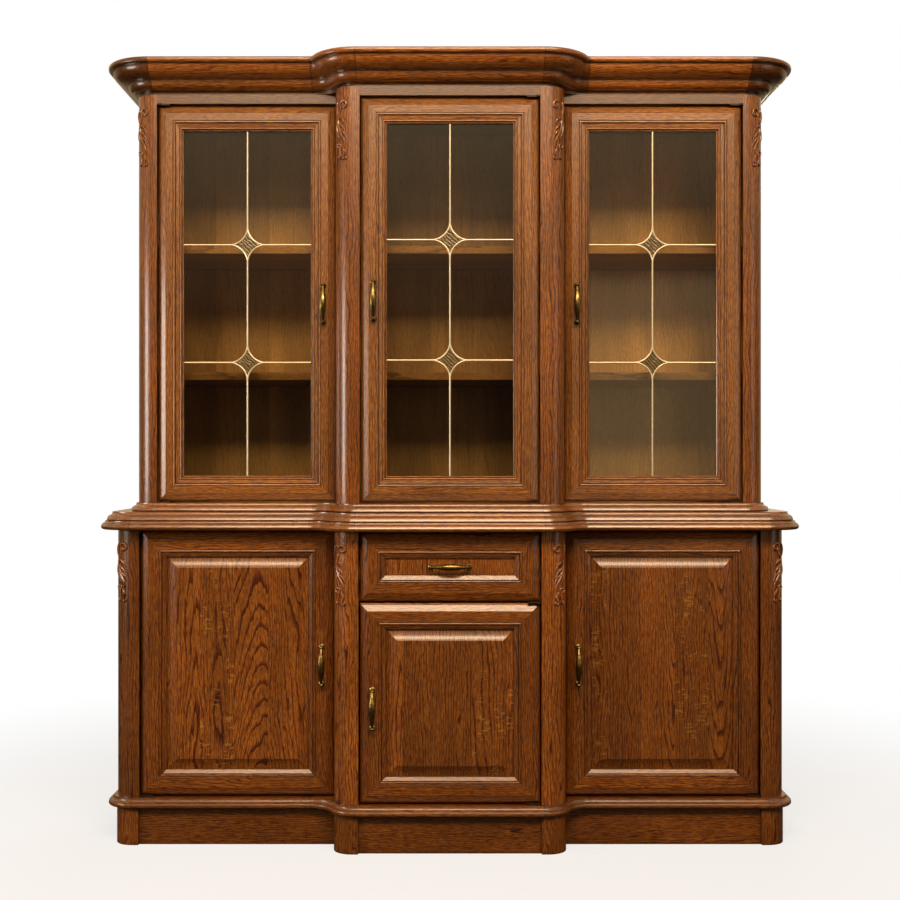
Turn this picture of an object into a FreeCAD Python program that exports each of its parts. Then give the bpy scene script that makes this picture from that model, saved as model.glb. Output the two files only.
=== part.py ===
"""Breakfront oak dresser with a glazed hutch.

Millimetres. +Z is up, the front faces -Y, and the origin is on the floor under the middle of the
piece. The lower unit stands on a plinth; the hutch stands on the counter, set back by hutch_inset.
"""
import FreeCAD, Part
import math
import os
import re

import Sketcher

SIZES = {
    # Overall plan of the carcass
    "lower_width": 1742,
    "hutch_inset": 44,
    "centre_width": 594,
    "wing_depth": 400,
    "break_depth": 80,
    "break_shift": 10,
    "post_width": 65,
    "post_depth": 65,
    "post_radius": 48,
    "upper_end_post_width": 57,
    "side_thickness": 18,
    "back_thickness": 6,
    # Plinth and base board
    "plinth_height": 97,
    "plinth_overhang": 2,
    "plinth_board_thickness": 20,
    "block_proud": 9,
    "base_thickness": 24,
    "base_overhang": 24,
    "base_nose": 11,
    # Lower unit
    "lower_opening": 694,
    "lower_top_thickness": 23,
    "lower_top_overhang": 44,
    "lower_top_nose": 10.5,
    "counter_thickness": 23,
    "counter_overhang": 29,
    "counter_nose": 10.5,
    # Hutch
    "hutch_base_thickness": 22,
    "hutch_base_overhang": 20,
    "hutch_base_nose": 15,
    "upper_opening": 1048,
    "top_rail_height": 24,
    "hutch_top_thickness": 18,
    # Cornice, from the bottom up
    "foot_height": 9,
    "foot_overhang": 10,
    "bead_height": 21,
    "bead_overhang": 28,
    "bead_round": 15,
    "ovolo_height": 33,
    "ovolo_overhang": 66,
    "ovolo_round": 31,
    "cap_height": 15,
    "cap_overhang": 78,
    "cap_round": 6,
    "cove_clearance": 6,
    "cornice_wall": 20,
    # Doors and drawer front
    "front_thickness": 22,
    "side_gap": 2.5,
    "drawer_gap": 4.5,
    "frame_width": 67,
    "drawer_frame_width": 66,
    "glazed_frame_width": 67,
    "frame_round": 11,
    "frame_bead": 13,
    "bead_drop": 4,
    "bead_edge_round": 5,
    "rebate_depth": 11,
    "rebate_width": 9,
    "panel_thickness": 8,
    "panel_play": 1,
    "panel_rise": 9,
    "panel_bevel": 27,
    "panel_margin": 1,
    "glass_thickness": 4,
    "came_width": 5,
    "came_thickness": 2,
    "came_spread": 310,
    "star_reach": 43,
    "star_waist": 20,
    # Knife hinges
    "leaf_thickness": 1.9,
    "leaf_length": 32,
    "leaf_depth": 18,
    "leaf_clearance": 0.2,
    "leaf_seat": 12,
    "eye_radius": 5,
    "pin_radius": 2.5,
    "pin_clearance": 0.05,
    "pivot_inset": 4,
    "pivot_proud": 2,
    # Handles
    "handle_span": 96,
    "handle_reach": 24,
    "handle_foot": 15,
    "grip_radius": 5,
    "foot_radius": 4.5,
    "rosette_radius": 8,
    "rosette_height": 3,
    "handle_from_edge": 33,
    "wing_handle_from_top": 348,
    "centre_handle_from_top": 267,
    "upper_handle_from_floor": 522,
    # Drawer
    "drawer_front_height": 174,
    "drawer_length": 400,
    "drawer_side_height": 112,
    "drawer_side_thickness": 12,
    "drawer_bottom_thickness": 6,
    "drawer_rise": 22,
    "runner_room": 13,
    "runner_thickness": 2,
    "runner_height": 34,
    "runner_flange": 9,
    "runner_clearance": 0.3,
    "rail_thickness": 18,
    "rail_depth": 70,
    "rail_setback": 1,
    # Shelves
    "shelf_thickness": 20,
    "shelf_play": 1,
    "first_shelf": 327,
    "second_shelf": 665,
    "wing_shelf": 330,
    "centre_shelf": 240,
    "support_width": 12,
    "support_depth": 14,
    "support_height": 10,
    "support_inset": 40,
}

doc = FreeCAD.newDocument("dresser")
sheet = doc.addObject("Spreadsheet::Sheet", "Sizes")
for row, (alias, number) in enumerate(SIZES.items(), start=1):
    sheet.set(f"A{row}", alias)
    sheet.set(f"B{row}", str(number))
    sheet.setAlias(f"B{row}", alias)
doc.recompute()


def in_sheet(text):
    """Turn a formula of size names into an expression that reads the sheet."""
    return re.sub(r"\b([a-z][a-z_]*)\b(?!\()", r"Sizes.\1", str(text))


def number_of(text):
    """The present value of a formula of size names."""
    return float(sheet.evalExpression(in_sheet(text)))


def bind(thing, **formulas):
    """Bind properties of a document object to formulas of the sheet's sizes."""
    for prop, text in formulas.items():
        thing.setExpression(prop, in_sheet(text))


def place(thing, x=0, y=0, z=0):
    """Bind the position of a document object to formulas."""
    for axis, text in zip("xyz", (x, y, z)):
        thing.setExpression(f"Placement.Base.{axis}", in_sheet(text))


def fix(sketch, kind, text, element, *point):
    """Add a dimension to a sketch and bind it to a formula."""
    made = sketch.addConstraint(Sketcher.Constraint(kind, element, *point, number_of(text)))
    sketch.setExpression(f"Constraints[{made}]", in_sheet(text))


def new_sketch(body, name, role):
    """A sketch on one of the body's own origin planes."""
    sketch = body.newObject("Sketcher::SketchObject", name)
    plane = next(item for item in body.Origin.OriginFeatures if item.Role == role)
    sketch.AttachmentSupport = [(plane, "")]
    sketch.MapMode = "FlatFace"
    return sketch


nodes = {}


def node(label, thing):
    """Register a finished sub-part under the label that names its file."""
    thing.Label = label
    nodes[label] = thing
    return thing


def box(name, x, y, z, length, width, height, body=None, kind="Part::Box"):
    """A block from its low corner and its sizes along X, Y and Z."""
    made = doc.addObject(kind, name) if body is None else body.newObject(kind, name)
    bind(made, Length=length, Width=width, Height=height)
    place(made, x, y, z)
    return made


def compound(label, members):
    """Separate solids that share one node."""
    made = doc.addObject("Part::Compound", label)
    made.Links = members
    return node(label, made)


def near(a, b, room=1e-4):
    return abs(a - b) < room


def edges_where(shape, wanted):
    """Names of the edges of a shape whose two ends both meet a condition."""
    names = []
    for index, edge in enumerate(shape.Edges, start=1):
        ends = [vertex.Point for vertex in edge.Vertexes]
        if wanted(ends):
            names.append(f"Edge{index}")
    return names


def round_edges(body, base, wanted, radius):
    """Fillet the edges of a body's feature that meet a condition."""
    doc.recompute()
    fillet = body.newObject("PartDesign::Fillet", base.Name + "_round")
    fillet.Base = (base, edges_where(base.Shape, wanted))
    bind(fillet, Radius=radius)
    return fillet


# Places along X and Y
face = "((break_depth + lower_top_overhang - wing_depth) / 2)"
back = f"({face} + wing_depth)"
panel_back = f"({back} - back_thickness)"
lower_half = "(lower_width / 2)"
upper_half = "(lower_width / 2 - hutch_inset)"
centre_half = "(centre_width / 2)"
bay_half = f"({centre_half} - post_width)"
upper_face = f"({face} + hutch_inset)"
centre_face = f"({face} - break_depth)"
upper_centre_face = f"({upper_face} - break_depth)"
hinge_gap = "(2 * leaf_thickness + leaf_clearance)"

# Levels, from the floor up
base_level = "plinth_height"
lower_floor = f"({base_level} + base_thickness)"
lower_top_level = f"({lower_floor} + lower_opening)"
counter_level = f"({lower_top_level} + lower_top_thickness)"
hutch_level = f"({counter_level} + counter_thickness)"
upper_floor = f"({hutch_level} + hutch_base_thickness)"
rail_level = f"({upper_floor} + upper_opening)"
cornice_level = f"({rail_level} + top_rail_height)"
hutch_top_level = f"({cornice_level} - hutch_top_thickness)"


def breakfront_outline(body, name, half, front, overhang):
    """Sketch of a board's plan: rounded ends, and an S-curve from each wing to the centre bay.

    The curve is two tangent arcs about fixed centres, so every overhang gives a parallel line. It starts
    a little nearer the middle than the post does, by break_shift.
    """
    hollow = "(cap_overhang + cove_clearance)"
    span = f"({hollow} + post_radius)"
    run = f"sqrt({span}^2 - ({span} - break_depth)^2)"
    side = f"({half} + {overhang})"
    end_x = f"({half} - post_radius)"
    convex_x = f"({centre_half} - post_radius - break_shift)"
    hollow_x = f"({convex_x} + {run})"
    share = f"(({hollow} - {overhang}) / {span})"
    turn_x = f"({hollow_x} - {run} * {share})"
    turn_y = f"({front} - {hollow} + ({span} - break_depth) * {share})"
    outer = f"(post_radius + {overhang})"
    right = [
        (convex_x, f"{front} - break_depth - {overhang}", outer, +1),
        (turn_x, turn_y, f"{hollow} - {overhang}", -1),
        (hollow_x, f"{front} - {overhang}", None, 0),
        (end_x, f"{front} - {overhang}", outer, +1),
        (side, f"{front} + post_radius", None, 0),
        (side, back, None, 0),
    ]
    corners = [(x, y) for x, y, radius, bend in right]
    corners += [(f"-({x})", y) for x, y in reversed(corners)]
    bends = [(radius, bend) for x, y, radius, bend in right[:-1]]
    bends += [(None, 0)] + list(reversed(bends)) + [(None, 0)]

    sketch = new_sketch(body, name, "XY_Plane")
    points = [FreeCAD.Vector(number_of(x), number_of(y), 0) for x, y in corners]
    for index, (radius, bend) in enumerate(bends):
        start = points[index]
        end = points[(index + 1) % len(points)]
        if radius is None:
            sketch.addGeometry(Part.LineSegment(start, end))
            continue
        chord = end - start
        middle = (start + end) / 2
        length = number_of(radius)
        sagitta = length - math.sqrt(length ** 2 - chord.Length ** 2 / 4)
        outward = FreeCAD.Vector(chord.y, -chord.x, 0).normalize()
        sketch.addGeometry(Part.Arc(start, middle + outward * sagitta * bend, end))
    for index, ((x, y), (radius, bend)) in enumerate(zip(corners, bends)):
        first = 2 if bend < 0 else 1
        previous_bend = bends[index - 1][1]
        last = 1 if previous_bend < 0 else 2
        previous = (index - 1) % len(bends)
        sketch.addConstraint(Sketcher.Constraint("Coincident", previous, last, index, first))
        fix(sketch, "DistanceX", x, index, first)
        fix(sketch, "DistanceY", y, index, first)
        if radius is not None:
            fix(sketch, "Radius", radius, index)
    return sketch


def moulded_board(name, half, front, overhang, level, thickness, top_round=None, bottom_round=None):
    """A board with the breakfront plan and rounded front and side edges."""
    body = doc.addObject("PartDesign::Body", name)
    sketch = breakfront_outline(body, name + "_outline", half, front, overhang)
    tip = body.newObject("PartDesign::Pad", name + "_pad")
    tip.Profile = sketch
    bind(tip, Length=thickness)
    place(body, z=level)
    back_y = number_of(back)

    def rim(height):
        return lambda ends: (all(near(end.z, height) for end in ends)
                             and not all(near(end.y, back_y) for end in ends))

    if top_round:
        tip = round_edges(body, tip, rim(number_of(thickness)), top_round)
    if bottom_round:
        tip = round_edges(body, tip, rim(0), bottom_round)
    return body


def rounded_post(name, outer, inward, front, width, depth, level, height, radius="post_radius"):
    """A square post whose outer front arris is worked to a quarter round; inward is +1 or -1."""
    body = doc.addObject("PartDesign::Body", name)
    low = outer if inward > 0 else f"({outer} - {width})"
    blank = box(name + "_blank", low, front, level, width, depth, height, body, "PartDesign::AdditiveBox")
    corner_x = number_of(outer)
    corner_y = number_of(front)

    def on_arris(ends):
        return all(near(end.x, corner_x) and near(end.y, corner_y) for end in ends)

    round_edges(body, blank, on_arris, radius)
    return body


def post_pair(label, half, front, width, depth, level, height, radius="post_radius"):
    members = []
    for hand, outer, inward in (("left", f"-({half})", 1), ("right", f"({half})", -1)):
        members.append(rounded_post(f"{label}_{hand}", outer, inward, front, width, depth, level, height,
                                    radius))
    return members


def board_pair(label, inner, y, z, thickness, depth, height):
    """Two boards, mirror images, whose inner faces stand inner from the middle."""
    left = box(label + "_left", f"-({inner}) - {thickness}", y, z, thickness, depth, height)
    right = box(label + "_right", inner, y, z, thickness, depth, height)
    return [left, right]


# Plinth: four rounded blocks under the posts, with boards between them and round the back
block_front = "(plinth_overhang + block_proud)"
compound("plinth_blocks",
         post_pair("plinth_end_block", lower_half, f"{face} - {block_front}", "post_width",
                   f"post_depth + {block_front}", 0, base_level)
         + post_pair("plinth_break_block", centre_half, f"{centre_face} - {block_front}", "post_width",
                     f"post_depth + break_depth + {block_front}", 0, base_level))
plinth_front = f"({face} - plinth_overhang)"
wing_start = f"({lower_half} - post_width)"
plinth_back_y = f"({back} - plinth_board_thickness)"
plinth_side_y = f"({face} + post_depth)"
plinth_boards = [
    box("plinth_left_board", f"-{wing_start}", plinth_front, 0,
        f"{wing_start} - {centre_half}", "plinth_board_thickness", base_level),
    box("plinth_right_board", centre_half, plinth_front, 0,
        f"{wing_start} - {centre_half}", "plinth_board_thickness", base_level),
    box("plinth_centre_board", f"-{bay_half}", f"{centre_face} - plinth_overhang", 0,
        f"2 * {bay_half}", "plinth_board_thickness", base_level),
    box("plinth_back_board", f"-{lower_half}", plinth_back_y, 0, f"2 * {lower_half}",
        "plinth_board_thickness", base_level),
]
plinth_boards += board_pair("plinth_side_board", f"{lower_half} - plinth_board_thickness",
                            plinth_side_y, 0, "plinth_board_thickness",
                            f"{plinth_back_y} - {plinth_side_y}", base_level)
compound("plinth_boards", plinth_boards)

# Lower unit: base board, posts, sides, dividers, back and top
node("base_board", moulded_board("base_board", lower_half, face, "base_overhang", base_level,
                                 "base_thickness", "base_nose", "base_nose"))
compound("lower_end_posts", post_pair("lower_end_post", lower_half, face, "post_width", "post_depth",
                                      lower_floor, "lower_opening"))
compound("lower_break_posts", post_pair("lower_break_post", centre_half, centre_face, "post_width",
                                        "post_depth + break_depth", lower_floor, "lower_opening"))
behind_posts = f"({face} + post_depth)"
lower_depth = f"({panel_back} - {behind_posts})"
compound("lower_sides", board_pair("lower_side", f"{lower_half} - side_thickness", behind_posts, lower_floor,
                                   "side_thickness", lower_depth, "lower_opening"))
compound("lower_dividers", board_pair("lower_divider", bay_half, behind_posts, lower_floor, "side_thickness",
                                      lower_depth, "lower_opening"))
node("lower_back", box("lower_back", f"-{lower_half}", panel_back, lower_floor, f"2 * {lower_half}",
                       "back_thickness", "lower_opening"))
node("lower_top_board", moulded_board("lower_top_board", lower_half, face, "lower_top_overhang",
                                      lower_top_level, "lower_top_thickness", "lower_top_nose",
                                      "lower_top_nose"))
node("counter_board", moulded_board("counter_board", lower_half, face, "counter_overhang", counter_level,
                                    "counter_thickness", "counter_nose", "counter_nose"))

# Hutch: base board, posts, sides, dividers, back, rails over the doors and top
node("hutch_base", moulded_board("hutch_base", upper_half, upper_face, "hutch_base_overhang", hutch_level,
                                 "hutch_base_thickness", "hutch_base_nose"))
upper_post_height = "(upper_opening + top_rail_height)"
compound("upper_end_posts", post_pair("upper_end_post", upper_half, upper_face, "upper_end_post_width",
                                      "post_depth", upper_floor, upper_post_height))
compound("upper_break_posts", post_pair("upper_break_post", centre_half, upper_centre_face, "post_width",
                                        "post_depth + break_depth", upper_floor, upper_post_height))
behind_upper_posts = f"({upper_face} + post_depth)"
upper_depth = f"({panel_back} - {behind_upper_posts})"
upper_height = f"({hutch_top_level} - {upper_floor})"
compound("upper_sides", board_pair("upper_side", f"{upper_half} - side_thickness", behind_upper_posts,
                                   upper_floor, "side_thickness", upper_depth, upper_height))
compound("upper_dividers", board_pair("upper_divider", bay_half, behind_upper_posts, upper_floor,
                                      "side_thickness", upper_depth, upper_height))
node("upper_back", box("upper_back", f"-{upper_half}", panel_back, upper_floor, f"2 * {upper_half}",
                       "back_thickness", upper_height))
node("hutch_top", box("hutch_top", f"-{upper_half}", behind_upper_posts, hutch_top_level, f"2 * {upper_half}",
                      f"{back} - {behind_upper_posts}", "hutch_top_thickness"))
upper_wing_end = f"({upper_half} - upper_end_post_width)"
rail_length = f"({upper_wing_end} - {centre_half})"
compound("top_rails", [
    box("top_rail_left", f"-{upper_wing_end}", upper_face, rail_level, rail_length, "post_depth",
        "top_rail_height"),
    box("top_rail_centre", f"-{bay_half}", upper_centre_face, rail_level, f"2 * {bay_half}",
        "post_depth + break_depth", "top_rail_height"),
    box("top_rail_right", centre_half, upper_face, rail_level, rail_length, "post_depth", "top_rail_height"),
])

# Cornice: a foot, a small ovolo, a large ovolo and a cap, hollow behind the front and the two returns
tiers = []
tier_level = cornice_level
for part, top_round, bottom_round in (("foot", None, None), ("bead", None, "bead_round"),
                                      ("ovolo", None, "ovolo_round"), ("cap", "cap_round", "cap_round")):
    tiers.append(moulded_board("cornice_" + part, upper_half, upper_face, part + "_overhang", tier_level,
                               part + "_height", top_round, bottom_round))
    tier_level = f"({tier_level} + {part}_height)"
stack = doc.addObject("Part::MultiFuse", "cornice_stack")
stack.Shapes = tiers
cornice_height = f"({tier_level} - {cornice_level})"
well_half = f"({upper_half} - cornice_wall)"
well_front = f"({upper_face} + post_radius)"
well = box("cornice_well", f"-{well_half}", well_front, cornice_level, f"2 * {well_half}",
           f"{back} - {well_front}", cornice_height)
crown = doc.addObject("Part::Cut", "cornice_crown")
crown.Base = stack
crown.Tool = well
reach = f"({upper_half} + cap_overhang)"
front_depth = "(break_depth + post_radius + cap_overhang)"
for label, kind in (("cornice_front", "Part::Common"), ("cornice_returns", "Part::Cut")):
    cutter = box(label + "_region", f"-{reach}", f"{well_front} - {front_depth}", cornice_level,
                 f"2 * {reach}", front_depth, cornice_height)
    piece = doc.addObject(kind, label)
    piece.Base = crown
    piece.Tool = cutter
    node(label, piece)

# Shelves, each on four small blocks fixed to the boards beside it
wing_inner = "(lower_width / 2 - side_thickness)"
shelves = {"upper_shelves": [], "lower_shelves": []}
supports = []


def shelf(group, name, left, right, front, level):
    """A shelf between two upright faces, and the four blocks under its corners."""
    depth = f"({panel_back} - shelf_play - {front})"
    shelves[group].append(box(name, f"{left} + shelf_play", front, level,
                              f"{right} - {left} - 2 * shelf_play", depth, "shelf_thickness"))
    rear = f"({panel_back} - support_inset)"
    for end, x in (("left", left), ("right", f"{right} - support_width")):
        for place_name, y in (("front", f"{front} + support_inset"), ("rear", rear)):
            supports.append(box(f"{name}_support_{end}_{place_name}", x, f"{y} - support_depth",
                                f"{level} - support_height", "support_width", "support_depth",
                                "support_height"))


divider_outer = f"({bay_half} + side_thickness)"
upper_inner = f"({upper_half} - side_thickness)"
for bay, left, right in (("left", f"-{upper_inner}", f"-{divider_outer}"),
                         ("centre", f"-{bay_half}", bay_half),
                         ("right", divider_outer, upper_inner)):
    for order in ("first", "second"):
        shelf("upper_shelves", f"upper_{bay}_{order}_shelf", left, right, behind_upper_posts,
              f"({upper_floor} + {order}_shelf)")
for bay, left, right, rise in (("left", f"-{wing_inner}", f"-{divider_outer}", "wing_shelf"),
                               ("centre", f"-{bay_half}", bay_half, "centre_shelf"),
                               ("right", divider_outer, wing_inner, "wing_shelf")):
    shelf("lower_shelves", f"lower_{bay}_shelf", left, right, behind_posts, f"({lower_floor} + {rise})")
for label, members in shelves.items():
    compound(label, members)
compound("shelf_supports", supports)


def front_frame(label, x, y, z, width, height, member):
    """A mitred frame: rounded outside, with a small moulding dropped behind it and a rebate at the back."""
    body = doc.addObject("PartDesign::Body", label)
    place(body, x, y, z)
    blank = box(label + "_blank", 0, 0, 0, width, "front_thickness", height, body, "PartDesign::AdditiveBox")
    far_x = number_of(width)
    far_z = number_of(height)
    round_edges(body, blank, lambda ends: all(near(end.y, 0) for end in ends), "frame_round")

    def cut(part, inset, start, depth):
        return box(f"{label}_{part}", inset, start, inset, f"{width} - 2 * ({inset})", depth,
                   f"{height} - 2 * ({inset})", body, "PartDesign::SubtractiveBox")

    cut("step", f"{member} - frame_bead", 0, "bead_drop")
    opening = cut("sight", member, 0, "front_thickness")
    near_x = number_of(member)
    sight = (near_x, far_x - near_x, near_x, far_z - near_x)
    drop = number_of("bead_drop")

    def at_sight(point):
        on_side = near(point.x, sight[0]) or near(point.x, sight[1])
        on_rail = near(point.z, sight[2]) or near(point.z, sight[3])
        return near(point.y, drop) and on_side and on_rail

    round_edges(body, opening, lambda ends: all(at_sight(end) for end in ends), "bead_edge_round")
    cut("rebate", f"{member} - rebate_width", "front_thickness - rebate_depth", "rebate_depth")
    return node(label, body)


def infill(name, x, y, z, width, height, member, thickness):
    """A board or pane lying against the rebate of a frame."""
    inset = f"({member} - rebate_width + panel_play)"
    return box(name, f"{x} + {inset}", f"{y} + front_thickness - rebate_depth", f"{z} + {inset}",
               f"{width} - 2 * {inset}", thickness, f"{height} - 2 * {inset}")


def raised_panel(label, x, y, z, width, height, member):
    """A panel with a tongue in the rebate and a bevelled field raised towards the front."""
    tongue = infill(label + "_board", x, y, z, width, height, member, "panel_thickness")
    field = doc.addObject("Part::Wedge", label + "_field")
    seat = f"({member} + panel_margin)"
    flat = f"({seat} + panel_bevel)"
    bind(field, Xmin=flat, Xmax=f"{width} - {flat}", Zmin=flat, Zmax=f"{height} - {flat}",
         X2min=seat, X2max=f"{width} - {seat}", Z2min=seat, Z2max=f"{height} - {seat}",
         Ymin=0, Ymax="panel_rise")
    place(field, x, f"{y} + front_thickness - rebate_depth - panel_rise", z)
    whole = doc.addObject("Part::Fuse", label)
    whole.Base = tongue
    whole.Tool = field
    return node(label, whole)


def handle(label, x, y, z, across=False):
    """A bow handle on two feet with rosettes, standing out from the front towards -Y."""
    body = doc.addObject("PartDesign::Body", label)
    sag = "(handle_reach - handle_foot)"
    radius = f"((handle_span^2 / 4 + {sag}^2) / (2 * {sag}))"
    sketch = new_sketch(body, label + "_section", "XY_Plane")
    centre_y = f"({radius} - handle_reach)"
    axis_end = FreeCAD.Vector(number_of("handle_span"), number_of(centre_y), 0)
    grip = sketch.addGeometry(Part.Circle(FreeCAD.Vector(0, number_of("-handle_reach"), 0),
                                          FreeCAD.Vector(0, 0, 1), number_of("grip_radius")))
    axis = sketch.addGeometry(Part.LineSegment(FreeCAD.Vector(0, axis_end.y, 0), axis_end), True)
    for element, point, along, out in ((grip, 3, "0", "-handle_reach"), (axis, 1, "0", centre_y),
                                       (axis, 2, "handle_span", centre_y)):
        fix(sketch, "DistanceX", along, element, point)
        fix(sketch, "DistanceY", out, element, point)
    fix(sketch, "Radius", "grip_radius", grip)
    bow = body.newObject("PartDesign::Revolution", label + "_bow")
    bow.Profile = sketch
    bow.ReferenceAxis = (sketch, ["Axis0"])
    bow.Midplane = True
    bind(bow, Angle=f"2 * asin(handle_span / 2 / {radius})")
    for end, sign in (("low", "-"), ("high", "")):
        for part, size, length in (("foot", "foot_radius", "handle_foot"),
                                   ("rosette", "rosette_radius", "rosette_height")):
            post = body.newObject("PartDesign::AdditiveCylinder", f"{label}_{end}_{part}")
            post.Placement.Rotation = FreeCAD.Rotation(FreeCAD.Vector(1, 0, 0), 90)
            bind(post, Radius=size, Height=length)
            place(post, 0, 0, f"{sign}handle_span / 2")
    if across:
        body.Placement.Rotation = FreeCAD.Rotation(FreeCAD.Vector(0, 1, 0), 90)
    place(body, x, y, z)
    return node(label, body)


brackets = []


def hinge_leaf(name, x, y, z, inward, depth, bored):
    """One leaf of a knife hinge: a plate with an eye round the pivot, which is at x, y."""
    low_x = f"{x} - pivot_inset" if inward > 0 else f"{x} + pivot_inset - leaf_length"
    plate = box(name + "_plate", low_x, y, z, "leaf_length", depth, "leaf_thickness")
    eye = doc.addObject("Part::Cylinder", name + "_eye")
    bind(eye, Radius="eye_radius", Height="leaf_thickness")
    place(eye, x, y, z)
    leaf = doc.addObject("Part::Fuse", name + "_leaf")
    leaf.Base = plate
    leaf.Tool = eye
    if not bored:
        return leaf
    bore = doc.addObject("Part::Cylinder", name + "_bore")
    bind(bore, Radius="pin_radius + pin_clearance", Height="leaf_thickness")
    place(bore, x, y, z)
    pierced = doc.addObject("Part::Cut", name + "_pierced")
    pierced.Base = leaf
    pierced.Tool = bore
    return pierced


def hinges(label, edge, front, z, height, inward):
    """The knife hinges at the bottom and top of a door: leaves on the door, and pins on the carcass.

    The fixed leaves are long enough to be screwed to a rail that lies behind the fronts.
    """
    x = f"({edge} + {inward} * pivot_inset)"
    y = f"({front} - pivot_proud)"
    run = f"({hinge_gap} - leaf_thickness)"
    fixed_depth = "(pivot_proud + front_thickness + rail_setback + leaf_seat)"
    moving = []
    for end, door_z, fixed_z, pin_z in (
            ("bottom", f"{z} - leaf_thickness", f"{z} - {hinge_gap}", f"{z} - {run}"),
            ("top", f"{z} + {height}", f"{z} + {height} + {run}", f"{z} + {height}")):
        name = f"{label}_{end}"
        moving.append(hinge_leaf(name + "_door", x, y, door_z, inward, "leaf_depth", True))
        fixed = hinge_leaf(name + "_fixed", x, y, fixed_z, inward, fixed_depth, False)
        pin = doc.addObject("Part::Cylinder", name + "_pin")
        bind(pin, Radius="pin_radius", Height=run)
        place(pin, x, y, pin_z)
        bracket = doc.addObject("Part::Fuse", name + "_bracket")
        bracket.Base = fixed
        bracket.Tool = pin
        brackets.append(bracket)
    compound(label + "_hinge_leaves", moving)


# Doors of the lower unit. Each row: bay, low X, width, front plane, hinge edge and side, height
wing_door_low = f"({wing_start} - side_gap)"
wing_door_width = f"({wing_door_low} - {centre_half} - side_gap)"
bay_door_half = f"({bay_half} - side_gap)"
lower_door_z = f"({lower_floor} + {hinge_gap})"
lower_door_height = f"(lower_opening - 2 * {hinge_gap})"
centre_door_height = f"({lower_door_height} - drawer_front_height - drawer_gap)"
for bay, low_x, width, front, hinge_right, height, drop in (
        ("left", f"-{wing_door_low}", wing_door_width, face, False, lower_door_height,
         "wing_handle_from_top"),
        ("centre", f"-{bay_door_half}", f"(2 * {bay_door_half})", centre_face, True, centre_door_height,
         "centre_handle_from_top"),
        ("right", f"({centre_half} + side_gap)", wing_door_width, face, True, lower_door_height,
         "wing_handle_from_top")):
    label = f"lower_{bay}_door"
    high_x = f"({low_x} + {width})"
    front_frame(label + "_frame", low_x, front, lower_door_z, width, height, "frame_width")
    raised_panel(label + "_panel", low_x, front, lower_door_z, width, height, "frame_width")
    grip_x = f"{low_x} + handle_from_edge" if hinge_right else f"{high_x} - handle_from_edge"
    handle(label + "_handle", grip_x, front, f"{lower_door_z} + {height} - {drop}")
    hinges(label, high_x if hinge_right else low_x, front, lower_door_z, height, -1 if hinge_right else 1)

# Glazed doors of the hutch
upper_door_z = f"({upper_floor} + {hinge_gap})"
upper_door_height = f"(upper_opening - 2 * {hinge_gap})"
upper_door_low = f"({upper_wing_end} - side_gap)"
upper_door_width = f"({upper_door_low} - {centre_half} - side_gap)"


def star(name, x, y, z):
    """A four-pointed star with hollow sides, cut from sheet and lying on the pane."""
    body = doc.addObject("PartDesign::Body", name)
    sketch = new_sketch(body, name + "_outline", "XZ_Plane")
    reach_value = number_of("star_reach")
    waist = number_of("star_waist") / math.sqrt(2)
    tips = [(1, 0), (0, 1), (-1, 0), (0, -1)]
    sag = "(star_reach / sqrt(2) - star_waist)"
    hollow = f"((star_reach^2 / 2 + {sag}^2) / (2 * {sag}))"
    for index, (along, up) in enumerate(tips):
        next_along, next_up = tips[(index + 1) % len(tips)]
        middle = FreeCAD.Vector((along + next_along) * waist, (up + next_up) * waist, 0)
        sketch.addGeometry(Part.Arc(FreeCAD.Vector(along * reach_value, up * reach_value, 0), middle,
                                    FreeCAD.Vector(next_along * reach_value, next_up * reach_value, 0)))
    for index, (along, up) in enumerate(tips):
        # A hollow side is stored with its ends swapped, so a tip is the end point of its own arc
        sketch.addConstraint(Sketcher.Constraint("Coincident", (index - 1) % len(tips), 1, index, 2))
        fix(sketch, "DistanceX", f"{along} * star_reach", index, 2)
        fix(sketch, "DistanceY", f"{up} * star_reach", index, 2)
        fix(sketch, "Radius", hollow, index)
    pad = body.newObject("PartDesign::Pad", name + "_pad")
    pad.Profile = sketch
    bind(pad, Length="came_thickness")
    place(body, x, y, z)
    return body


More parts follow.
